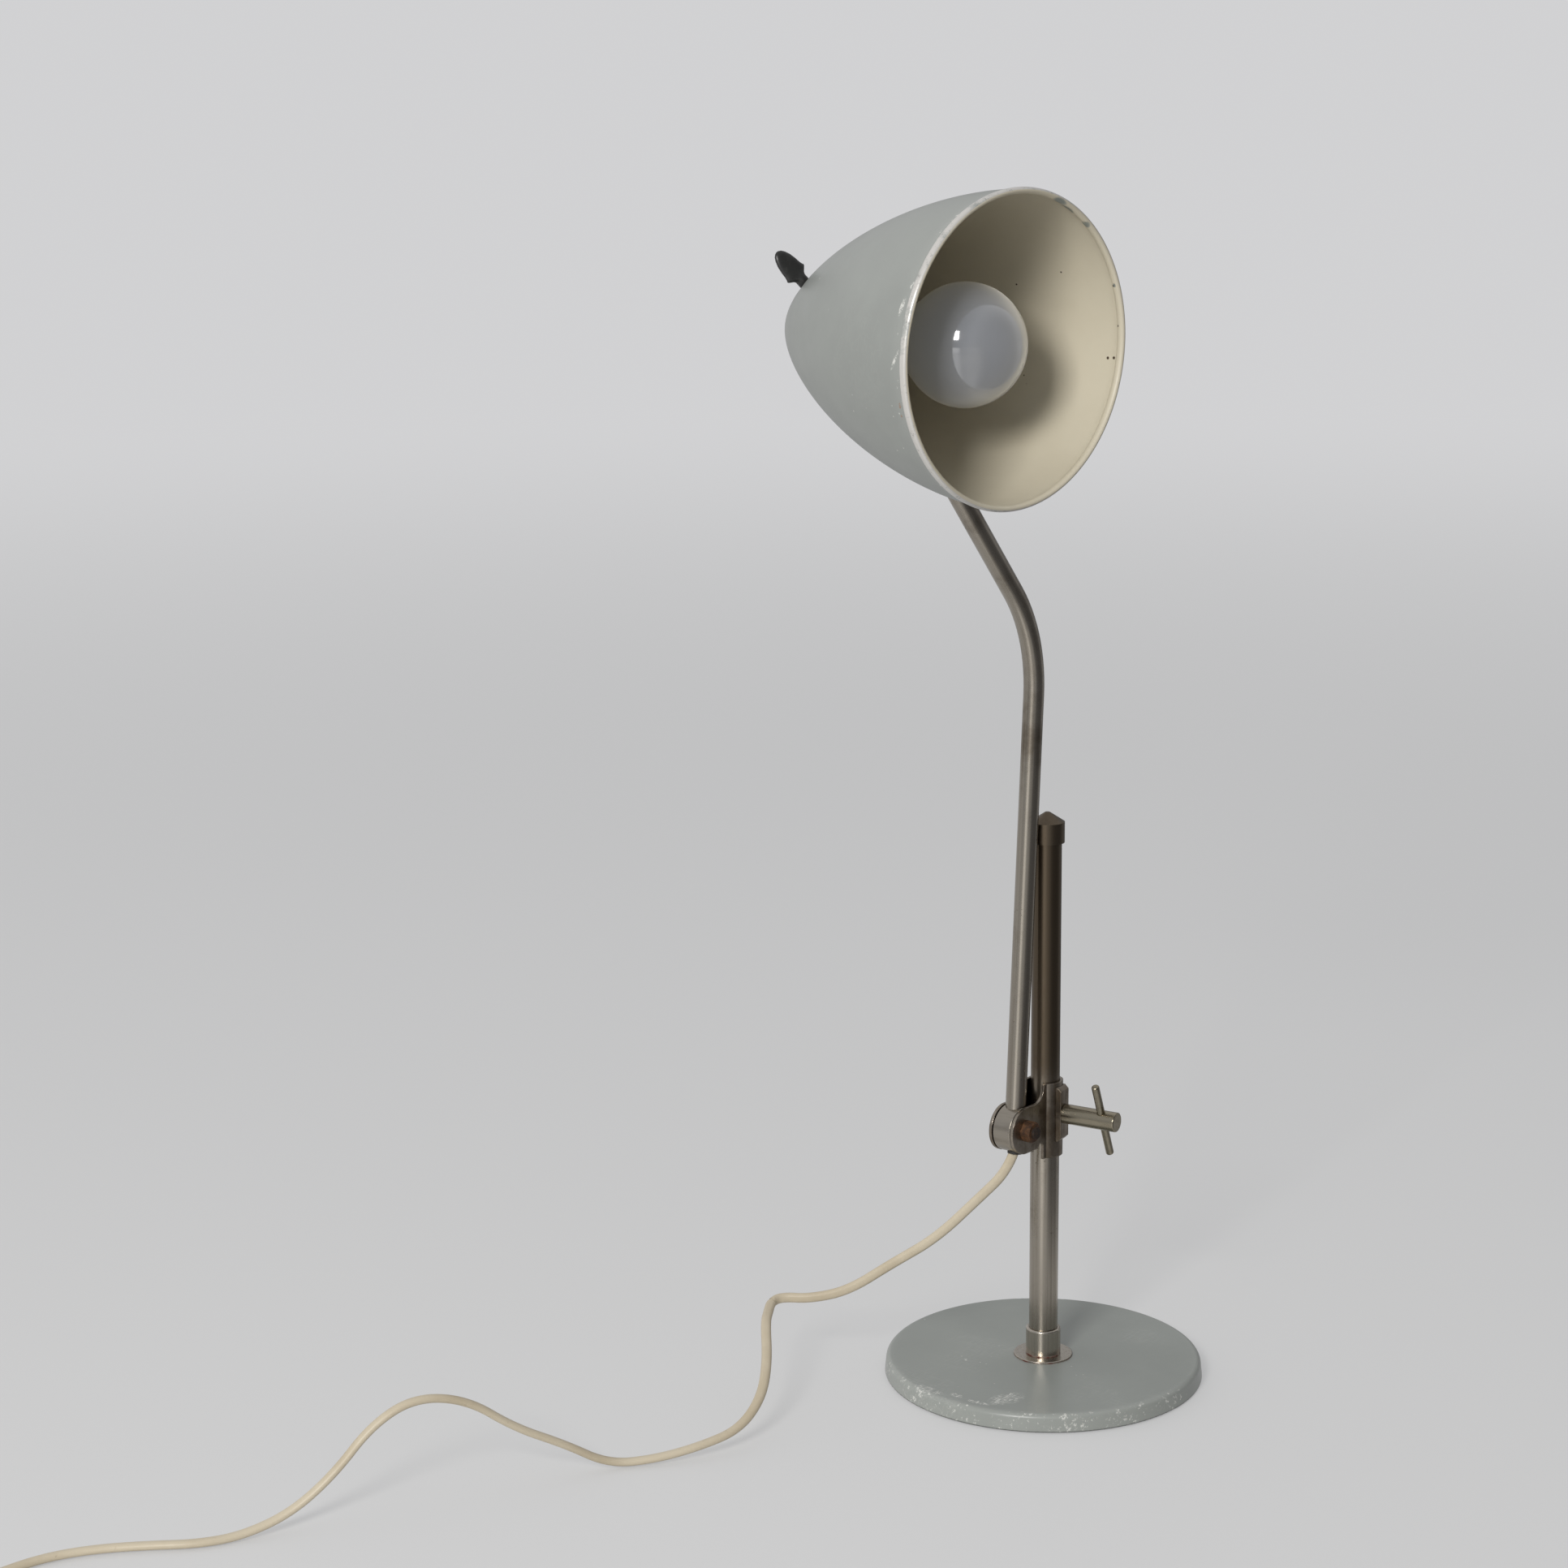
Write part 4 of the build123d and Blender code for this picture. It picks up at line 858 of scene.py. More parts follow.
@dataclass
class Clamp:
    """Clamp on the post, its hinge bolt and its toggle screw."""

    strap: tuple[str, ...] = ("clamp_strap", "clamp_boss")
    toggle: tuple[str, ...] = ("toggle_screw", "toggle_bar")

    def dress(self) -> None:
        """Dresses the CAD nodes."""
        dress(WornNickel("clamp_nickel", Tarnish.DARK, (240, 240, 60), srgb(174, 165, 153),
                         srgb(98, 86, 71), soft=0.0007), *self.strap)
        dress(WornNickel("toggle_nickel", Tarnish.LIGHT, (300, 60, 300), srgb(156, 148, 130),
                         srgb(110, 98, 77), soft=0.0005), *self.toggle)
        dress(RustedSteel("nut_rust", srgb(62, 42, 28), srgb(104, 70, 42)), "hinge_nut")
        dress(RustedSteel("bolt_rust", srgb(34, 27, 22), srgb(62, 45, 33)), "hinge_bolt")
        dress(Moulding("washer_fibre", srgb(96, 44, 32), srgb(124, 70, 50), 0.7, 0.0001), "friction_washers")


@dataclass
class Arm:
    """Bent arm with its drum and the parts of the swivel."""

    turned: tuple[str, ...] = ("hinge_drum", "drum_lid", "arm_sleeve", "knuckle")

    def dress(self) -> None:
        """Dresses the CAD nodes."""
        dress(WornNickel("arm_nickel", Tarnish.WORN, (9, 1000, 9)), "arm_tube")
        dress(WornNickel("drum_nickel", Tarnish.LIGHT, (260, 40, 260), roughness=0.24, soft=0.0006),
              *self.turned)
        dress(Moulding("outlet_rubber", srgb(34, 32, 30), srgb(58, 54, 50), 0.6), "outlet_bush")
        dress(PlainMetal("grub_steel", srgb(120, 116, 108), srgb(84, 72, 58)), "swivel_grub")


@dataclass
class Head:
    """Shade, fork, lampholder, switch key and bulb, in the shade's own frame."""

    mouth_radius: float = 69.0
    depth: float = 142.5
    wall: float = 1.0
    fullness: float = 1.67
    bluntness: float = 1.39
    hem_half_depth: float = 2.0
    hem_half_width: float = 1.45
    hem_sink: float = 0.7
    hem_from: float = -62.0
    hem_sweep: float = 312.0
    hem_front: float = 62.0
    hem_steps: int = 26
    skin_start: float = 4.1
    skin_points: int = 70
    shade_sides: int = 176
    pivot: Point = (23.9, -1.6, 136.7)
    arm_lean: float = 3.5408
    arm_lower: float = 250.0
    arm_rise: float = 40.4
    arm_upper: float = 144.8
    turn: float = 7.2
    dip: float = 2.0
    joint_depth: float = 96.0
    joint_offset: float = 57.993
    key_depth: float = 116.0
    key_lean: float = 20.0
    slot_length: float = 15.0
    slot_width: float = 8.6
    slot_shift: float = 2.2
    slot_reach: float = 6.0
    slot_steps: int = 12
    key_stations: tuple[tuple[float, float, float, float], ...] = (
        (-22.0, 2.8, 2.8, 2.0), (2.3, 2.8, 2.8, 2.0), (3.0, 2.9, 2.7, 2.0), (3.9, 3.6, 2.4, 2.1),
        (4.8, 4.9, 2.1, 2.3), (5.6, 5.9, 1.9, 2.4), (6.1, 6.1, 1.85, 2.4), (6.7, 5.7, 1.85, 2.5),
        (8.2, 5.3, 1.8, 2.5), (11.0, 5.0, 1.75, 2.5), (14.0, 4.4, 1.65, 2.4), (16.4, 3.4, 1.45, 2.3),
        (18.0, 2.3, 1.1, 2.2), (18.8, 1.1, 0.6, 2.0), (19.0, 0.3, 0.2, 2.0),
    )
    key_points: int = 36
    bulb_centre: float = 32.4
    bulb_radius: float = 27.5
    bulb_wall: float = 0.8
    bulb_sweep: float = 122.0
    neck_radius: float = 13.4
    neck_depth: float = 73.0
    neck_pull: float = 0.36
    globe_steps: int = 48
    neck_steps: int = 16
    bulb_sides: int = 96
    pole_radius: float = 0.02
    chips: tuple[tuple[float, float, float, float], ...] = (
        (119.5, 0.5, 5.0, 2.2), (113, 2.6, 5.0, 2.0), (101.5, 1.8, 2.6, 2.4), (72, 1.8, 1.2, 0.8),
    )
    dots: tuple[tuple[float, float, float, float], ...] = (
        (83.9, 90.2, 530.1, 0.85), (84.1, 93.5, 530.3, 0.85), (91.1, 69.4, 567.7, 0.55),
        (91.7, 45.4, 561.6, 0.55), (89.7, 96.5, 562.4, 0.6), (85.2, 96.3, 544.6, 0.55),
    )
    place: Matrix = field(init=False)
    mouth: Vector = field(init=False)
    way: Vector = field(init=False)

    def __post_init__(self) -> None:
        """Works out the shade's frame from the arm's."""
        lean, rise = math.radians(self.arm_lean), math.radians(self.arm_rise)
        turn, dip = math.radians(self.turn), math.radians(self.dip)
        low = Vector((-math.sin(lean), 0, math.cos(lean)))
        high = Vector((math.sin(rise), 0, math.cos(rise)))
        pin = Vector(self.pivot) + low * self.arm_lower + high * self.arm_upper
        self.way = Vector((math.sin(turn) * math.cos(dip), math.cos(turn) * math.cos(dip), -math.sin(dip)))
        to_axis = (high - self.way * high.dot(self.way)).normalized()
        self.mouth = pin + to_axis * self.joint_offset + self.way * self.joint_depth
        self.place = basis(self.mouth, -to_axis, self.way)

    def radius_at(self, depth: float, inset: float) -> float:
        """Radius of the bell at a depth behind its mouth, this far inside the outer skin."""
        share = min(max(depth / (self.depth - inset), 0), 1)
        return (self.mouth_radius - inset) * (1 - share**self.fullness) ** (1 / self.bluntness)

    def wall_line(self, inset: float) -> list[tuple[float, float]]:
        """Profile of one skin from near the mouth to the apex.

        Args:
            inset: How far inside the outer skin.

        Returns:
            (radius, height) points.
        """
        deep, start, count = self.depth - inset, self.skin_start, self.skin_points
        depths = [start + (deep - start) * math.sin(math.pi / 2 * k / count) for k in range(count)]
        return [(self.radius_at(t, inset), -t) for t in depths] + [(self.pole_radius, -deep)]

    def on_hem(self, turn: float, depth: float) -> Vector:
        """Point on the hem's inner side, at a turn in degrees and a depth in millimetres."""
        a, r = math.radians(turn), self.mouth_radius - self.hem_sink - self.hem_half_width
        return self.place @ (Vector((r * math.cos(a), r * math.sin(a), -depth)) * MM)

    def hem_chips(self) -> tuple[WornSpot, ...]:
        """Places on the hem where the cream paint has flaked off.

        Returns:
            The places.
        """
        spots = []
        for turn, depth, half_length, half_width in self.chips:
            run = self.on_hem(turn + 1, depth) - self.on_hem(turn - 1, depth)
            spots.append(WornSpot(tuple(self.on_hem(turn, depth)), tuple(run.normalized()),
                                  half_length * MM, half_width * MM))
        return tuple(spots)

    def wall_dots(self) -> tuple[WornSpot, ...]:
        """Small dark holes and specks on the inner wall."""
        return tuple(WornSpot(tuple(Vector(dot[:3]) * MM), tuple(self.way), dot[3] * MM, dot[3] * MM)
                     for dot in self.dots)

    def key_frame(self) -> Matrix:
        """Frame of the switch key: Z out along its stem, X across its wing.

        Returns:
            The frame, in metres.
        """
        lean = math.radians(self.key_lean)
        foot = Vector((-self.radius_at(self.key_depth, 0), 0, -self.key_depth))
        way = Vector((-math.cos(lean), 0, -math.sin(lean)))
        return self.place @ basis(foot, Vector((0, 1, 0)), way)

    def build_shade(self) -> bpy.types.Object:
        """Makes the bell with its hem and the key's slot.

        Returns:
            The shade.
        """
        ring, steps = self.mouth_radius - self.hem_sink, self.hem_steps
        angles = [math.radians(self.hem_from + self.hem_sweep * k / steps) for k in range(steps + 1)]
        hem = [(ring + self.hem_half_width * math.cos(a), self.hem_half_depth * (math.sin(a) - 1))
               for a in angles]
        outer, inner = self.wall_line(0)[::-1], self.wall_line(self.wall)
        front = math.radians(self.hem_front)
        slots = [0] * len(outer) + [1 if a < front else 2 for a in angles] + [2] * (len(inner) - 1)
        bm = lathe(outer + hem + inner, self.place, self.shade_sides, slots)
        mesh = finish_mesh(bm, "shade_bell", sharp=50)
        paint = ShadePaint(mouth=tuple(self.mouth * MM), way=tuple(self.way)).material()
        cream = CreamEnamel(chips=self.hem_chips(), dots=self.wall_dots()).material()
        shade = new_piece("shade_bell", mesh, paint, WornHem().material(), cream)
        self.cut_slot(shade)
        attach(shade, "head")
        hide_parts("shade")
        return shade

    def cut_slot(self, shade: bpy.types.Object) -> None:
        """Cuts the key's slot through the bell.

        Args:
            shade: The bell.
        """
        half, r, steps = (self.slot_length - self.slot_width) / 2, self.slot_width / 2, self.slot_steps
        place = self.key_frame() @ Matrix.Translation((0, self.slot_shift * MM, 0))
        ends = [(y, math.pi * (k + first) / steps)
                for y, first in ((half, 0), (-half, steps)) for k in range(steps + 1)]
        rings = [[place @ (Vector((r * math.cos(a), y + r * math.sin(a), z)) * MM) for y, a in ends]
                 for z in (-self.slot_reach, self.slot_reach)]
        cutter = new_piece("slot_cutter", finish_mesh(loft(rings), "slot_cutter"), shade.data.materials[0])
        cut = shade.modifiers.new("slot", "BOOLEAN")
        cut.operation, cut.solver, cut.object = "DIFFERENCE", "EXACT", cutter
        done = bpy.data.meshes.new_from_object(shade.evaluated_get(bpy.context.evaluated_depsgraph_get()))
        shade.modifiers.remove(cut)
        shade.data = done
        done.name = "shade_bell"
        bpy.data.objects.remove(cutter)

    def build_bulb(self) -> bpy.types.Object:
        """Makes the opal globe and its neck.

        Returns:
            The globe.
        """
        sweep = math.radians(self.bulb_sweep)
        turns = [sweep * k / self.globe_steps for k in range(self.globe_steps + 1)]
        globe = [(max(self.bulb_radius * math.sin(a), self.pole_radius),
                  self.bulb_radius * math.cos(a) - self.bulb_centre) for a in turns]
        waist, tangent = Vector(globe[-1]), Vector((math.cos(sweep), -math.sin(sweep)))
        neck = Vector((self.neck_radius, -self.neck_depth))
        reach = (neck - waist).length * self.neck_pull
        bend = [waist, waist + tangent * reach, neck + Vector((0, reach)), neck]
        for k in range(1, self.neck_steps + 1):
            s = k / self.neck_steps
            mixed = [(1 - s) ** 3, 3 * s * (1 - s) ** 2, 3 * s * s * (1 - s), s**3]
            globe.append(tuple(sum((p * w for p, w in zip(bend, mixed)), Vector((0, 0)))))
        globe.append((self.neck_radius - self.bulb_wall, -self.neck_depth))
        bm = lathe(globe, self.place, self.bulb_sides)
        bulb = new_piece("bulb_globe", finish_mesh(bm, "bulb_globe", sharp=60), OpalGlass().material())
        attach(bulb, "head")
        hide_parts("bulb_glass")
        return bulb

    def build_key(self) -> bpy.types.Object:
        """Makes the wing key: a round stem that spreads into a flat leaf.

        Returns:
            The key.
        """
        def squared(part: float, square: float) -> float:
            """A cosine or sine that gives a squarer round."""
            return math.copysign(abs(part) ** (2 / square), part)

        place, count = self.key_frame(), self.key_points
        angles = [2 * math.pi * k / count for k in range(count)]
        rings = []
        for z, half, thick, square in self.key_stations:
            flat = [(half * squared(math.cos(a), square), thick * squared(math.sin(a), square))
                    for a in angles]
            rings.append([place @ (Vector((x, y, z)) * MM) for x, y in flat])
        black = Moulding("key_moulding", srgb(38, 38, 37), srgb(74, 73, 70), 0.30)
        key = new_piece("wing_key", finish_mesh(loft(rings), "wing_key", sharp=60), black.material())
        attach(key, "key")
        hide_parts("switch_key")
        return key

    def dress(self) -> None:
        """Dresses the CAD nodes of the fork, the lampholder and the bulb's cap."""
        dress(WornNickel("fork_nickel", Tarnish.WORN, (260, 260, 260), roughness=0.32),
              "shade_fork", "tilt_screw", "tilt_nut", "fork_screws")
        dress(PlainMetal("bracket_steel", srgb(150, 148, 142), srgb(104, 92, 78)), "tilt_washer")
        dress(Moulding("black_japan", srgb(34, 31, 28), srgb(62, 54, 46), 0.36), "holder_bracket")
        dress(Moulding("holder_moulding", srgb(28, 27, 26), srgb(50, 48, 45), 0.3),
              "holder_body", "holder_cap", "switch_block", "bulb_insulator")
        dress(PlainMetal("plain_brass", srgb(200, 168, 96), srgb(132, 100, 56)),
              "socket_shell", "centre_contact", "terminal_screws", "bulb_tip")
        dress(PlainMetal("rolled_metal", srgb(206, 206, 204), srgb(150, 146, 138), 0.25), "bulb_cap")
        dress(Moulding("porcelain", srgb(224, 220, 208), srgb(190, 182, 164), 0.55), "socket_base")
        dress(ClearGlass(), "bulb_stem")
        dress(PlainMetal("lamp_wire", srgb(110, 108, 104), srgb(70, 66, 60)), "bulb_filament")


@dataclass
class Cord:
    """Flat twin flex from the drum to its plug, in three stretches."""

    width: float = 5.1
    thickness: float = 4.0
    groove: float = 0.10
    groove_width: float = 0.13
    outline_points: int = 20
    line_order: int = 3
    line_steps: int = 10
    drop: tuple[Point, ...] = (
        (25.7, 0.0, 126.6), (28.4, -2.4, 115.4), (36.0, -15.4, 99.6), (46.5, -34.0, 77.4),
        (57.6, -54.2, 62.3), (68.5, -73.5, 46.5), (78.4, -91.0, 41.0), (85.4, -103.6, 41.0),
        (92.4, -105.2, 40.0), (102.0, -99.0, 39.0),
    )
    table: tuple[Point, ...] = (
        (111.6, -92.8, 38.0), (133.0, -73.5, 28.4), (153.5, -60.2, 19.0), (174.0, -57.2, 10.2),
        (194.0, -64.6, 6.4), (213.0, -76.8, 2.9), (231.0, -91.0, 2.5), (251.0, -100.6, 16.9),
        (274.0, -111.0, 30.2), (295.0, -121.0, 48.6), (318.0, -132.0, 54.3), (337.5, -141.0, 44.4),
        (354.0, -149.0, 24.1), (373.0, -158.0, 9.0), (394.0, -167.5, 2.5), (413.0, -176.5, 2.5),
        (429.0, -193.8, 2.5), (447.0, -209.5, 2.6), (466.0, -219.6, 2.6), (487.0, -222.9, 2.7),
        (508.0, -222.0, 3.3),
    )
    facing: Point = (0.77, 0.64, 0.0)
    twist: tuple[float, float] = (0.095, 0.155)
    coil_start: Point = (535.0, -222.0, 3.3)
    coil_radius: float = 34.5
    coil_step: float = 5.3
    coil_rise: float = 5.2
    half_turns_in: int = 6
    half_turns_out: int = 5
    points_per_half: int = 9
    tail: float = 27.0
    hinge_bend: float = 0.026
    hinge_end: float = 0.040
    bend_end: float = 0.165
    diameter: float = 4.6

    def coil(self) -> list[Point]:
        """Control points of the coil: in along the table, up one layer, and out on top.

        Returns:
            The points, in millimetres.
        """
        x, y, z = self.coil_start
        side, count = 1, self.points_per_half
        widen = 1 / math.cos(math.pi / count / 2)
        radii = [self.coil_radius - k * self.coil_step / 2 for k in range(self.half_turns_in + 1)]
        radii += [radii[-1] + (k + 1) * self.coil_step / 2 for k in range(self.half_turns_out)]
        points = []
        for number, r in enumerate(radii):
            for k in range(count):
                a = math.pi * (k + 0.5) / count
                lift = self.coil_rise if number > self.half_turns_in else 0
                if number == self.half_turns_in:
                    lift = self.coil_rise * (k + 0.5) / count
                points.append((x + side * r * widen * math.sin(a),
                               y + side * (r - r * widen * math.cos(a)), z + lift))
            y, side = y + side * 2 * r, -side
        top = z + self.coil_rise
        return points + [(x + self.tail * share, y, top) for share in (0.4, 0.7, 1.0)]

    def line(self) -> list[Vector]:
        """Smooth middle line of the whole cord.

        Returns:
            Points read from one spline, in metres.
        """
        control = [*self.drop, *self.table, *self.coil()]
        curve = bpy.data.curves.new("cord_line", "CURVE")
        curve.dimensions = "3D"
        spline = curve.splines.new("NURBS")
        spline.points.add(len(control) - 1)
        for point, place in zip(spline.points, control):
            point.co = (*(Vector(place) * MM), 1)
        spline.order_u, spline.resolution_u = self.line_order, self.line_steps
        spline.use_endpoint_u = True
        holder = bpy.data.objects.new("cord_line", curve)
        bpy.context.scene.collection.objects.link(holder)
        mesh = bpy.data.meshes.new_from_object(holder.evaluated_get(bpy.context.evaluated_depsgraph_get()))
        points = [vertex.co.copy() for vertex in mesh.vertices]
        bpy.data.objects.remove(holder)
        bpy.data.meshes.remove(mesh)
        return points

    def section(self) -> list[tuple[float, float]]:
        """Outline of the flex: two cores side by side with a shallow groove.

        Returns:
            (across, up) points, in metres.
        """
        outline = []
        for k in range(self.outline_points):
            a = 2 * math.pi * k / self.outline_points
            x = self.width / 2 * math.cos(a)
            dent = 1 - self.groove * math.exp(-((x / (self.width * self.groove_width)) ** 2))
            outline.append((x * MM, self.thickness / 2 * math.sin(a) * dent * MM))
        return outline

    def tube(self, name: str, points: Sequence[Vector], ups: Sequence[Vector],
             material: bpy.types.Material) -> bpy.types.Object:
        """Sweeps the flex's outline along a stretch of the line.

        Args:
            name: Name of the piece.
            points: Middle line.
            ups: Direction of the flex's thin side at each point.
            material: Its material.

        Returns:
            The piece.
        """
        rings = []
        for k, (point, up) in enumerate(zip(points, ups)):
            way = (points[min(k + 1, len(points) - 1)] - points[max(k - 1, 0)]).normalized()
            across = way.cross(up).normalized()
            rise = across.cross(way)
            rings.append([point + across * x + rise * y for x, y in self.section()])
        return new_piece(name, finish_mesh(loft(rings), name, sharp=70), material)

    def ups(self, points: Sequence[Vector]) -> list[Vector]:
        """Direction of the flex's thin side along the line: level where it hangs, upright where it lies.

        Args:
            points: Middle line.

        Returns:
            One direction for each point.
        """
        found: list[Vector] = []
        last = Vector((0, 0, 1))
        for k in range(len(points) - 1, -1, -1):
            way = (points[min(k + 1, len(points) - 1)] - points[max(k - 1, 0)]).normalized()
            laid = min(max((points[k].x - self.twist[0]) / (self.twist[1] - self.twist[0]), 0), 1)
            guide = Vector(self.facing).lerp(Vector((0, 0, 1)), laid)
            if abs(way.dot(guide.normalized())) > 0.9:
                guide = last
            last = (guide - way * guide.dot(way)).normalized()
            found.append(last)
        return found[::-1]

    def build(self) -> list[bpy.types.Object]:
        """Returns:
            The pieces.
        """
        points = self.line()
        ups = self.ups(points)
        reach = [0.0]
        for first, second in zip(points, points[1:]):
            reach.append(reach[-1] + (second - first).length)

        def near(length: float) -> int:
            """Number of the point at this length of the cord."""
            return min(range(len(reach)), key=lambda k: abs(reach[k] - length))

        cut_one, cut_two = near(self.hinge_end), near(self.bend_end)
        spans = {"cord_hinge": (0, cut_one), "cord_drop_line": (cut_one, cut_two),
                 "cord_table_line": (cut_two, len(points) - 1)}
        stands_for = {"cord_drop_line": ("cord_drop",), "cord_table_line": ("cord_on_table", "cord_coil")}
        material = TwinFlex().material()
        made = []
        for name, (low, high) in spans.items():
            span = points[low:high + 1]
            piece = self.tube(name, span, ups[low:high + 1], material)
            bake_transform(piece)
            if name in stands_for:
                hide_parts(*stands_for[name])
            made.append(piece)
        return made

    def dress(self) -> None:
        """Dresses the plug, the tie and the flex inside the lamp."""
        dress(TwinFlex(), "arm_flex", "drum_flex", "lamp_lead")
        dress(Moulding("plug_moulding", *PLUG_CREAM), "plug_body")
        dress(PlainMetal("pin_brass", srgb(206, 190, 140), srgb(140, 118, 78)), "plug_pins")
        dress(Moulding("tie_strap", srgb(34, 34, 34), srgb(62, 60, 58), 0.5), "coil_tie")


@dataclass
class RingRow:
    """Row of rings along an axis, each a step wider than the last, made with geometry nodes."""

    name: str
    body: str
    place: Matrix
    count: int
    pitch: float
    radius: float
    growth: float
    wire: float
    material: bpy.types.Material
    hoop_points: int = 40
    wire_points: int = 8

    def tree(self) -> tuple[bpy.types.NodeTree, dict[str, str]]:
        """Builds the node tree.

        Returns:
            The tree, and the identifier of each named input.
        """
        tree = bpy.data.node_groups.new(self.name, "GeometryNodeTree")
        face = tree.interface
        face.new_socket("Geometry", in_out="INPUT", socket_type="NodeSocketGeometry")
        inputs = {
            name: face.new_socket(name, in_out="INPUT", socket_type=kind)
            for name, kind in (("Rings", "NodeSocketInt"), ("Pitch", "NodeSocketFloat"),
                               ("Radius", "NodeSocketFloat"), ("Growth", "NodeSocketFloat"),
                               ("Wire", "NodeSocketFloat"), ("Finish", "NodeSocketMaterial"))
        }
        face.new_socket("Geometry", in_out="OUTPUT", socket_type="NodeSocketGeometry")
        kinds = {"entry": "NodeGroupInput", "leave": "NodeGroupOutput", "row": "GeometryNodeMeshLine",
                 "step": "ShaderNodeCombineXYZ", "hoop": "GeometryNodeCurvePrimitiveCircle",
                 "wire": "GeometryNodeCurvePrimitiveCircle", "skin": "GeometryNodeCurveToMesh",
                 "number": "GeometryNodeInputIndex", "grow": "ShaderNodeMath", "size": "ShaderNodeMath",
                 "scale": "ShaderNodeCombineXYZ", "copies": "GeometryNodeInstanceOnPoints",
                 "real": "GeometryNodeRealizeInstances", "paint": "GeometryNodeSetMaterial"}
        nodes = {name: tree.nodes.new(kind) for name, kind in kinds.items()}
        nodes["grow"].operation, nodes["size"].operation = "MULTIPLY", "ADD"
        for name, socket, value in (
            ("hoop", "Resolution", self.hoop_points), ("wire", "Resolution", self.wire_points),
            ("size", 1, 1.0), ("scale", "Z", 1.0),
        ):
            nodes[name].inputs[socket].default_value = value
        for source, out, target, into in (
            ("entry", "Pitch", "step", "Z"), ("entry", "Rings", "row", "Count"), ("step", 0, "row", "Offset"),
            ("entry", "Radius", "hoop", "Radius"), ("entry", "Wire", "wire", "Radius"),
            ("hoop", "Curve", "skin", "Curve"), ("wire", "Curve", "skin", "Profile Curve"),
            ("number", 0, "grow", 0), ("entry", "Growth", "grow", 1), ("grow", 0, "size", 0),
            ("size", 0, "scale", "X"), ("size", 0, "scale", "Y"), ("row", 0, "copies", "Points"),
            ("skin", 0, "copies", "Instance"), ("scale", 0, "copies", "Scale"), ("copies", 0, "real", 0),
            ("real", 0, "paint", "Geometry"), ("entry", "Finish", "paint", "Material"),
            ("paint", 0, "leave", 0),
        ):
            tree.links.new(nodes[source].outputs[out], nodes[target].inputs[into])
        return tree, {name: socket.identifier for name, socket in inputs.items()}

    def build(self) -> bpy.types.Object:
        """Makes the rings as one plain mesh.

        Returns:
            The piece.
        """
        tree, names = self.tree()
        piece = new_piece(self.name, bpy.data.meshes.new(self.name))
        row = piece.modifiers.new("rings", "NODES")
        row.node_group = tree
        values = {"Rings": self.count, "Pitch": self.pitch * MM, "Radius": self.radius * MM,
                  "Growth": self.growth, "Wire": self.wire * MM, "Finish": self.material}
        for name, value in values.items():
            row[names[name]] = value
        done = bpy.data.meshes.new_from_object(piece.evaluated_get(bpy.context.evaluated_depsgraph_get()))
        piece.modifiers.remove(row)
        done.transform(self.place)
        for polygon in done.polygons:
            polygon.use_smooth = True
        piece.data = done
        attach(piece, self.body)
        return piece


# Studio
@dataclass(frozen=True)
class PhotoCamera:
    """Camera of the photograph, in the lamp's frame."""

    place: Point = (1.3043, 0.9234, 0.6507)
    heading: float = 220.0
    dip: float = 12.043
    roll: float = -0.5056
    focal_pixels: float = 4040.0
    frame_pixels: float = 1932.0
    sensor: float = 36.0
    far: float = 200.0

    def build(self) -> None:
        """Makes the camera and sets it as the scene's."""
        heading, dip, roll = (math.radians(a) for a in (self.heading, self.dip, self.roll))
        ahead = Vector((math.cos(heading) * math.cos(dip), math.sin(heading) * math.cos(dip), -math.sin(dip)))
        right = ahead.cross(Vector((0, 0, 1))).normalized()
        up = right.cross(ahead)
        right, up = right * math.cos(roll) + up * math.sin(roll), up * math.cos(roll) - right * math.sin(roll)
        data = bpy.data.cameras.new("photo_camera")
        data.sensor_width = self.sensor
        data.lens = self.focal_pixels / self.frame_pixels * self.sensor
        data.clip_end = self.far
        camera = bpy.data.objects.new("photo_camera", data)
        turn = Matrix((right, up, -ahead)).transposed().to_4x4()
        camera.matrix_world = Matrix.Translation(self.place) @ turn
        bpy.context.scene.collection.objects.link(camera)
        bpy.context.scene.camera = camera


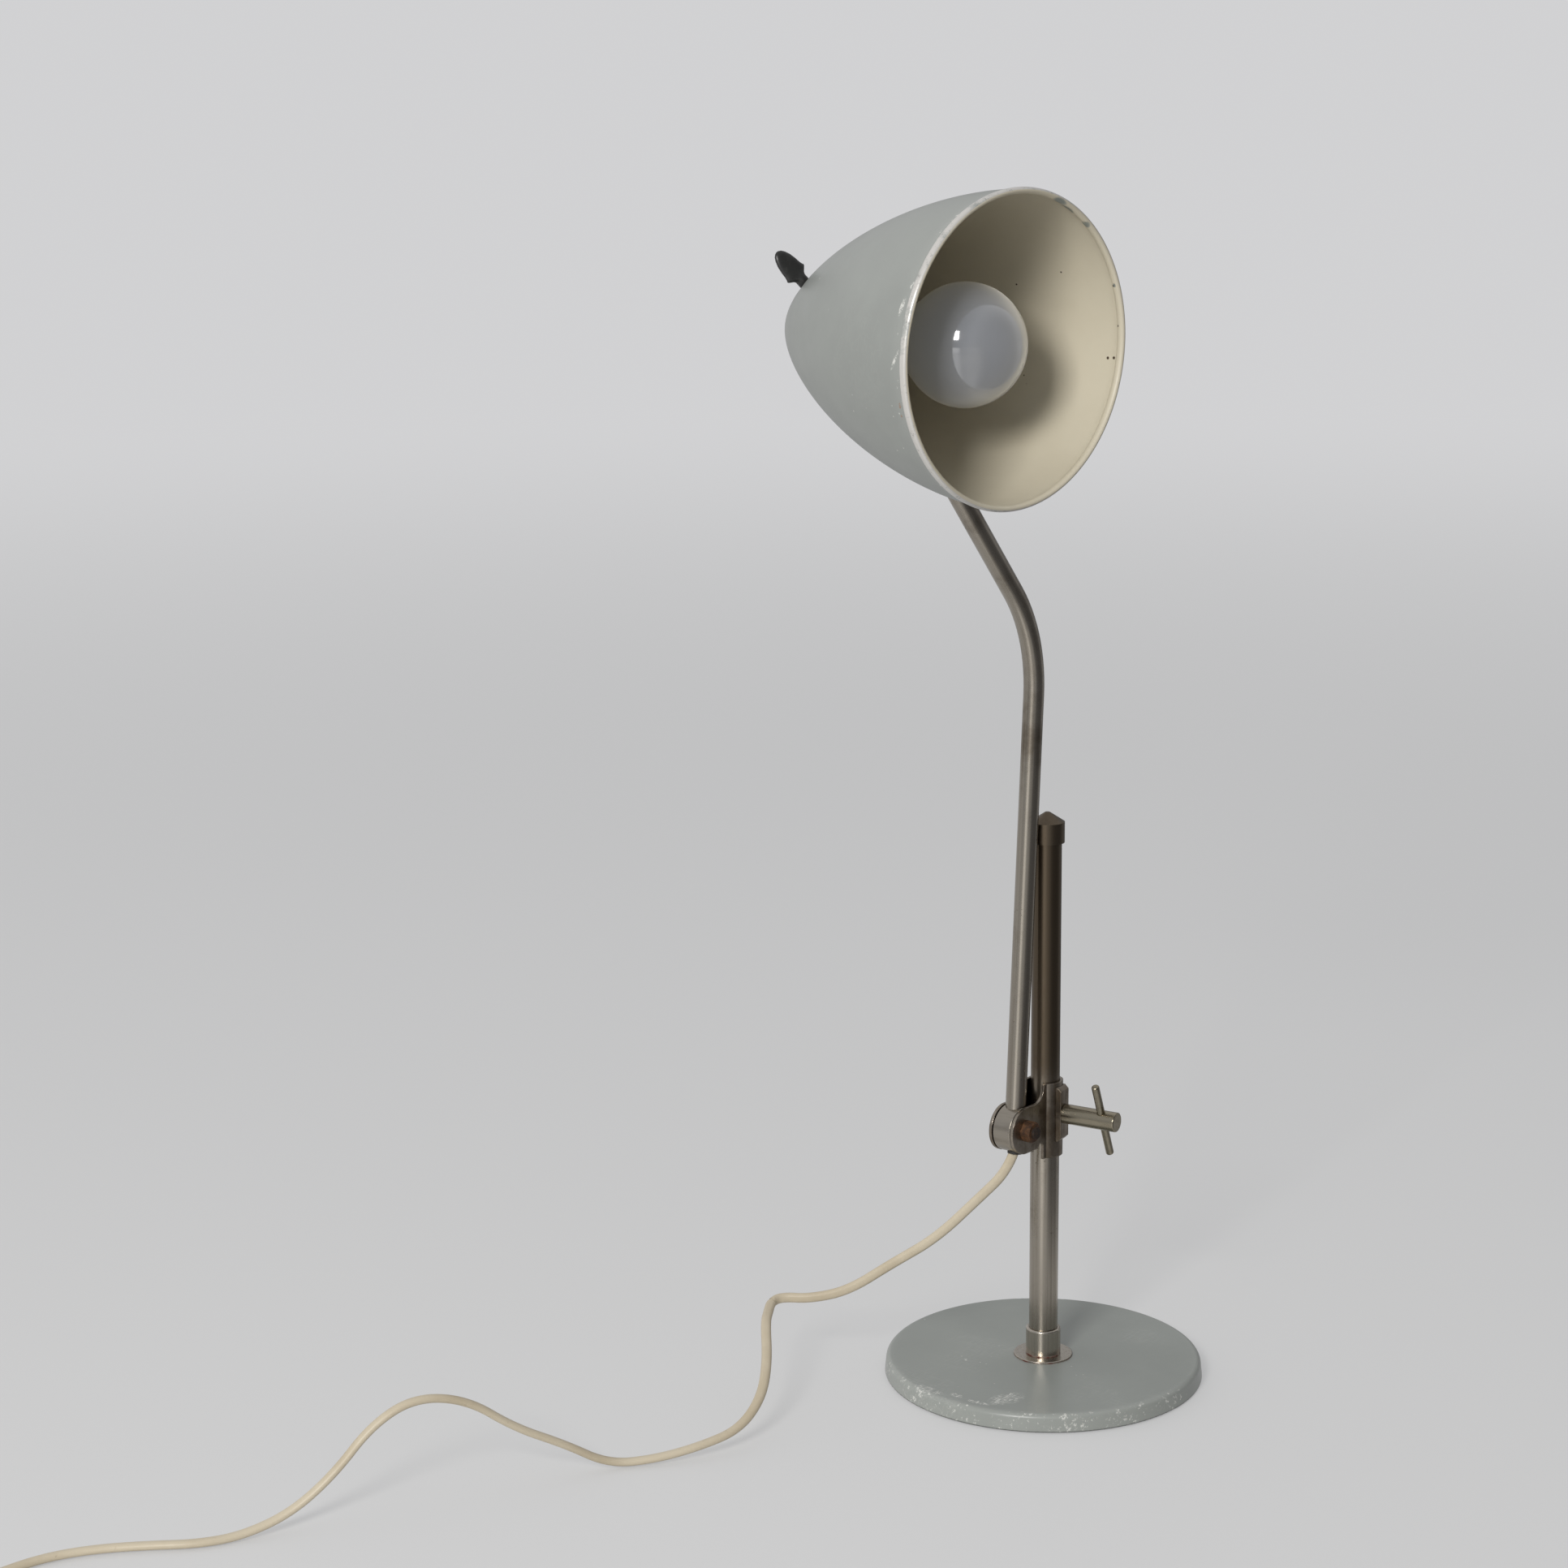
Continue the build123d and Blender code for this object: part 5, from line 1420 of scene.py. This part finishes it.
@dataclass(frozen=True)
class Studio:
    """Pale floor, one soft window and a room that is pale behind the lamp and dim behind the camera."""

    floor_colour: Colour = srgb(216, 216, 215)
    floor_glow: Colour = (0.66, 0.66, 0.665)
    glow_share: float = 0.5
    wall: Colour = (0.64, 0.64, 0.65)
    dim_side: Colour = (0.33, 0.345, 0.37)
    dim_way: Point = (0.766, 0.643, 0.0)
    dark_side: Colour = (0.14, 0.14, 0.145)
    dark_way: Point = (-0.26, 0.966, 0.0)
    back_way: Point = (-0.985, -0.174, 0.0)
    glint_way: Point = (0.966, 0.259, 0.0)
    window_way: Point = (0.90, 0.28, 0.43)
    window_distance: float = 2.4
    window_size: float = 0.62
    window_power: float = 36.0
    window_colour: Colour = (1.0, 0.985, 0.96)
    aim: Point = (0.08, 0.0, 0.35)
    reach: float = 45.0
    floor_level: float = -0.0002
    glint: Colour = (1.7, 1.7, 1.7)
    behind_share: float = 0.75

    def floor(self) -> None:
        """Makes the floor: it takes shadows and stays pale where it is seen; to reflections and bounced light
        it shows dark patches to the sides, ahead and behind, and to reflections a painted glint streak toward
        the window.
        """
        bm = bmesh.new()
        bmesh.ops.create_grid(bm, x_segments=8, y_segments=8, size=self.reach)
        mesh = bpy.data.meshes.new("floor")
        bm.to_mesh(mesh)
        bm.free()
        n = Nodes("floor_paint")
        x, y, _ = n.axes(n.place())
        far = (x * x + y * y) ** 0.5 + 0.001
        paths = {kind: n.add("ShaderNodeLightPath", output=f"Is {kind} Ray")
                 for kind in ("Camera", "Glossy", "Transmission")}

        def toward(way: Point) -> Value:
            """Distance from the middle along a level direction."""
            return x * way[0] + y * way[1]

        off_lamp = n.step(far, 0.12, 0.30)
        aside = n.step(toward(self.dark_way) / far, 0.50, 0.88) * off_lamp
        ahead = n.step(toward(self.dim_way), 0.30, 0.95) * 0.40
        behind = n.step(toward(self.back_way) / far, 0.70, 0.97) * off_lamp
        unlit = n.most(aside, ahead, behind * self.behind_share) * (1 - paths["Camera"])
        tone = n.mix(n.noise(2.2, 3) * 0.25, self.floor_colour, shaded(self.floor_colour, 0.96))
        lit = n.add("ShaderNodeBsdfPrincipled", None,
                    {"Base Color": n.mix(unlit, tone, self.dark_side), "Roughness": 0.55})
        # Painted glint: a glowing streak toward the window, which only reflections see.
        glint = n.step(toward(self.glint_way) / far, 0.965, 0.998) * n.step(far, 0.10, 0.25)
        haze = n.step(far, 1.2, 5.0)
        shine = n.mix(unlit, n.mix(haze, self.floor_glow, self.wall), self.dark_side)
        shine = n.mix(glint * paths["Glossy"], shine, self.glint)
        glow = n.add("ShaderNodeEmission", None, {"Color": shine})
        share = sum(paths.values()) * (self.glow_share + haze * (1 - self.glow_share))
        pale = n.add("ShaderNodeMixShader", None, {0: share, 1: lit, 2: glow})
        n.add("ShaderNodeOutputMaterial", None, {"Surface": pale})
        floor = new_piece("floor", mesh, n.owner)
        floor.location.z = self.floor_level

    def window(self) -> None:
        """Makes the window light."""
        lamp = bpy.data.lights.new("window", "AREA")
        lamp.shape, lamp.size, lamp.energy = "SQUARE", self.window_size, self.window_power
        lamp.color = self.window_colour
        window = bpy.data.objects.new("window", lamp)
        way = Vector(self.window_way).normalized()
        window.location = Vector(self.aim) + way * self.window_distance
        window.rotation_mode = "QUATERNION"
        window.rotation_quaternion = way.to_track_quat("Z", "Y")
        bpy.context.scene.collection.objects.link(window)

    def room(self) -> None:
        """Makes the room's light from its direction."""
        n = Nodes("room", world=True)
        way = n.add("ShaderNodeTexCoord", output="Generated")
        tone = n.mix(n.step(n.dot(way, self.dim_way), -0.2, 0.8), self.wall, self.dim_side)
        tone = n.mix(n.step(n.dot(way, self.dark_way), 0.45, 0.88), tone, self.dark_side)
        tone = n.mix(n.step(n.dot(way, self.back_way), 0.70, 0.97) * self.behind_share, tone, self.dark_side)
        tone = n.mix(n.add("ShaderNodeLightPath", output="Is Camera Ray"), tone, self.wall)
        back = n.add("ShaderNodeBackground", None, {"Color": tone})
        n.add("ShaderNodeOutputWorld", None, {"Surface": back})
        bpy.context.scene.world = n.owner

    def build(self) -> None:
        """Makes the floor, the window and the room."""
        self.floor()
        self.window()
        self.room()
        bpy.context.scene.view_settings.view_transform = "Standard"


def ring_rows() -> list[RingRow]:
    """Rows of rings: grip ribs on the plug's neck and thread on the hinge bolt's end.

    Returns:
        The rows.
    """
    neck_inset, thread_gap = Vector((4.0, 0, 0)), Vector((0, 0.45, 0))
    low, high = (Vector(corner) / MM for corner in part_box("plug_body"))
    axis = Vector((low.x, (low.y + high.y) / 2, (low.z + high.z) / 2))
    neck = basis(axis + neck_inset, Vector((0, 1, 0)), Vector((1, 0, 0)))
    cream = Moulding("rib_moulding", *PLUG_CREAM).material()
    low, high = (Vector(corner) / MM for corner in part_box("hinge_nut"))
    tail = Vector(((low.x + high.x) / 2, high.y, (low.z + high.z) / 2))
    bolt = basis(tail + thread_gap, Vector((1, 0, 0)), Vector((0, 1, 0)))
    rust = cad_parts["hinge_bolt"].material_slots[0].material
    return [
        RingRow("plug_ribs", "base", neck, count=6, pitch=3.0, radius=4.9, growth=0.042, wire=0.55,
                material=cream),
        RingRow("bolt_thread", "clamp", bolt, count=2, pitch=0.75, radius=2.95, growth=0.0, wire=0.22,
                material=rust),
    ]


def main() -> None:
    """Builds the lamp in order, then the studio."""
    logging.basicConfig(level=logging.INFO, format="%(name)s: %(message)s")
    PhotoCamera().build()
    cord = Cord()
    for piece in cord.build():
        LOG.info("built %s", piece.name)
    cord.dress()
    Stand().dress()
    Clamp().dress()
    Arm().dress()
    head = Head()
    makers: list[Callable[[], bpy.types.Object]] = [head.build_shade, head.build_bulb, head.build_key]
    for make in makers:
        LOG.info("built %s", make().name)
    head.dress()
    for row in ring_rows():
        LOG.info("built %s", row.build().name)
    Studio().build()


if __name__ == "__main__":
    main()
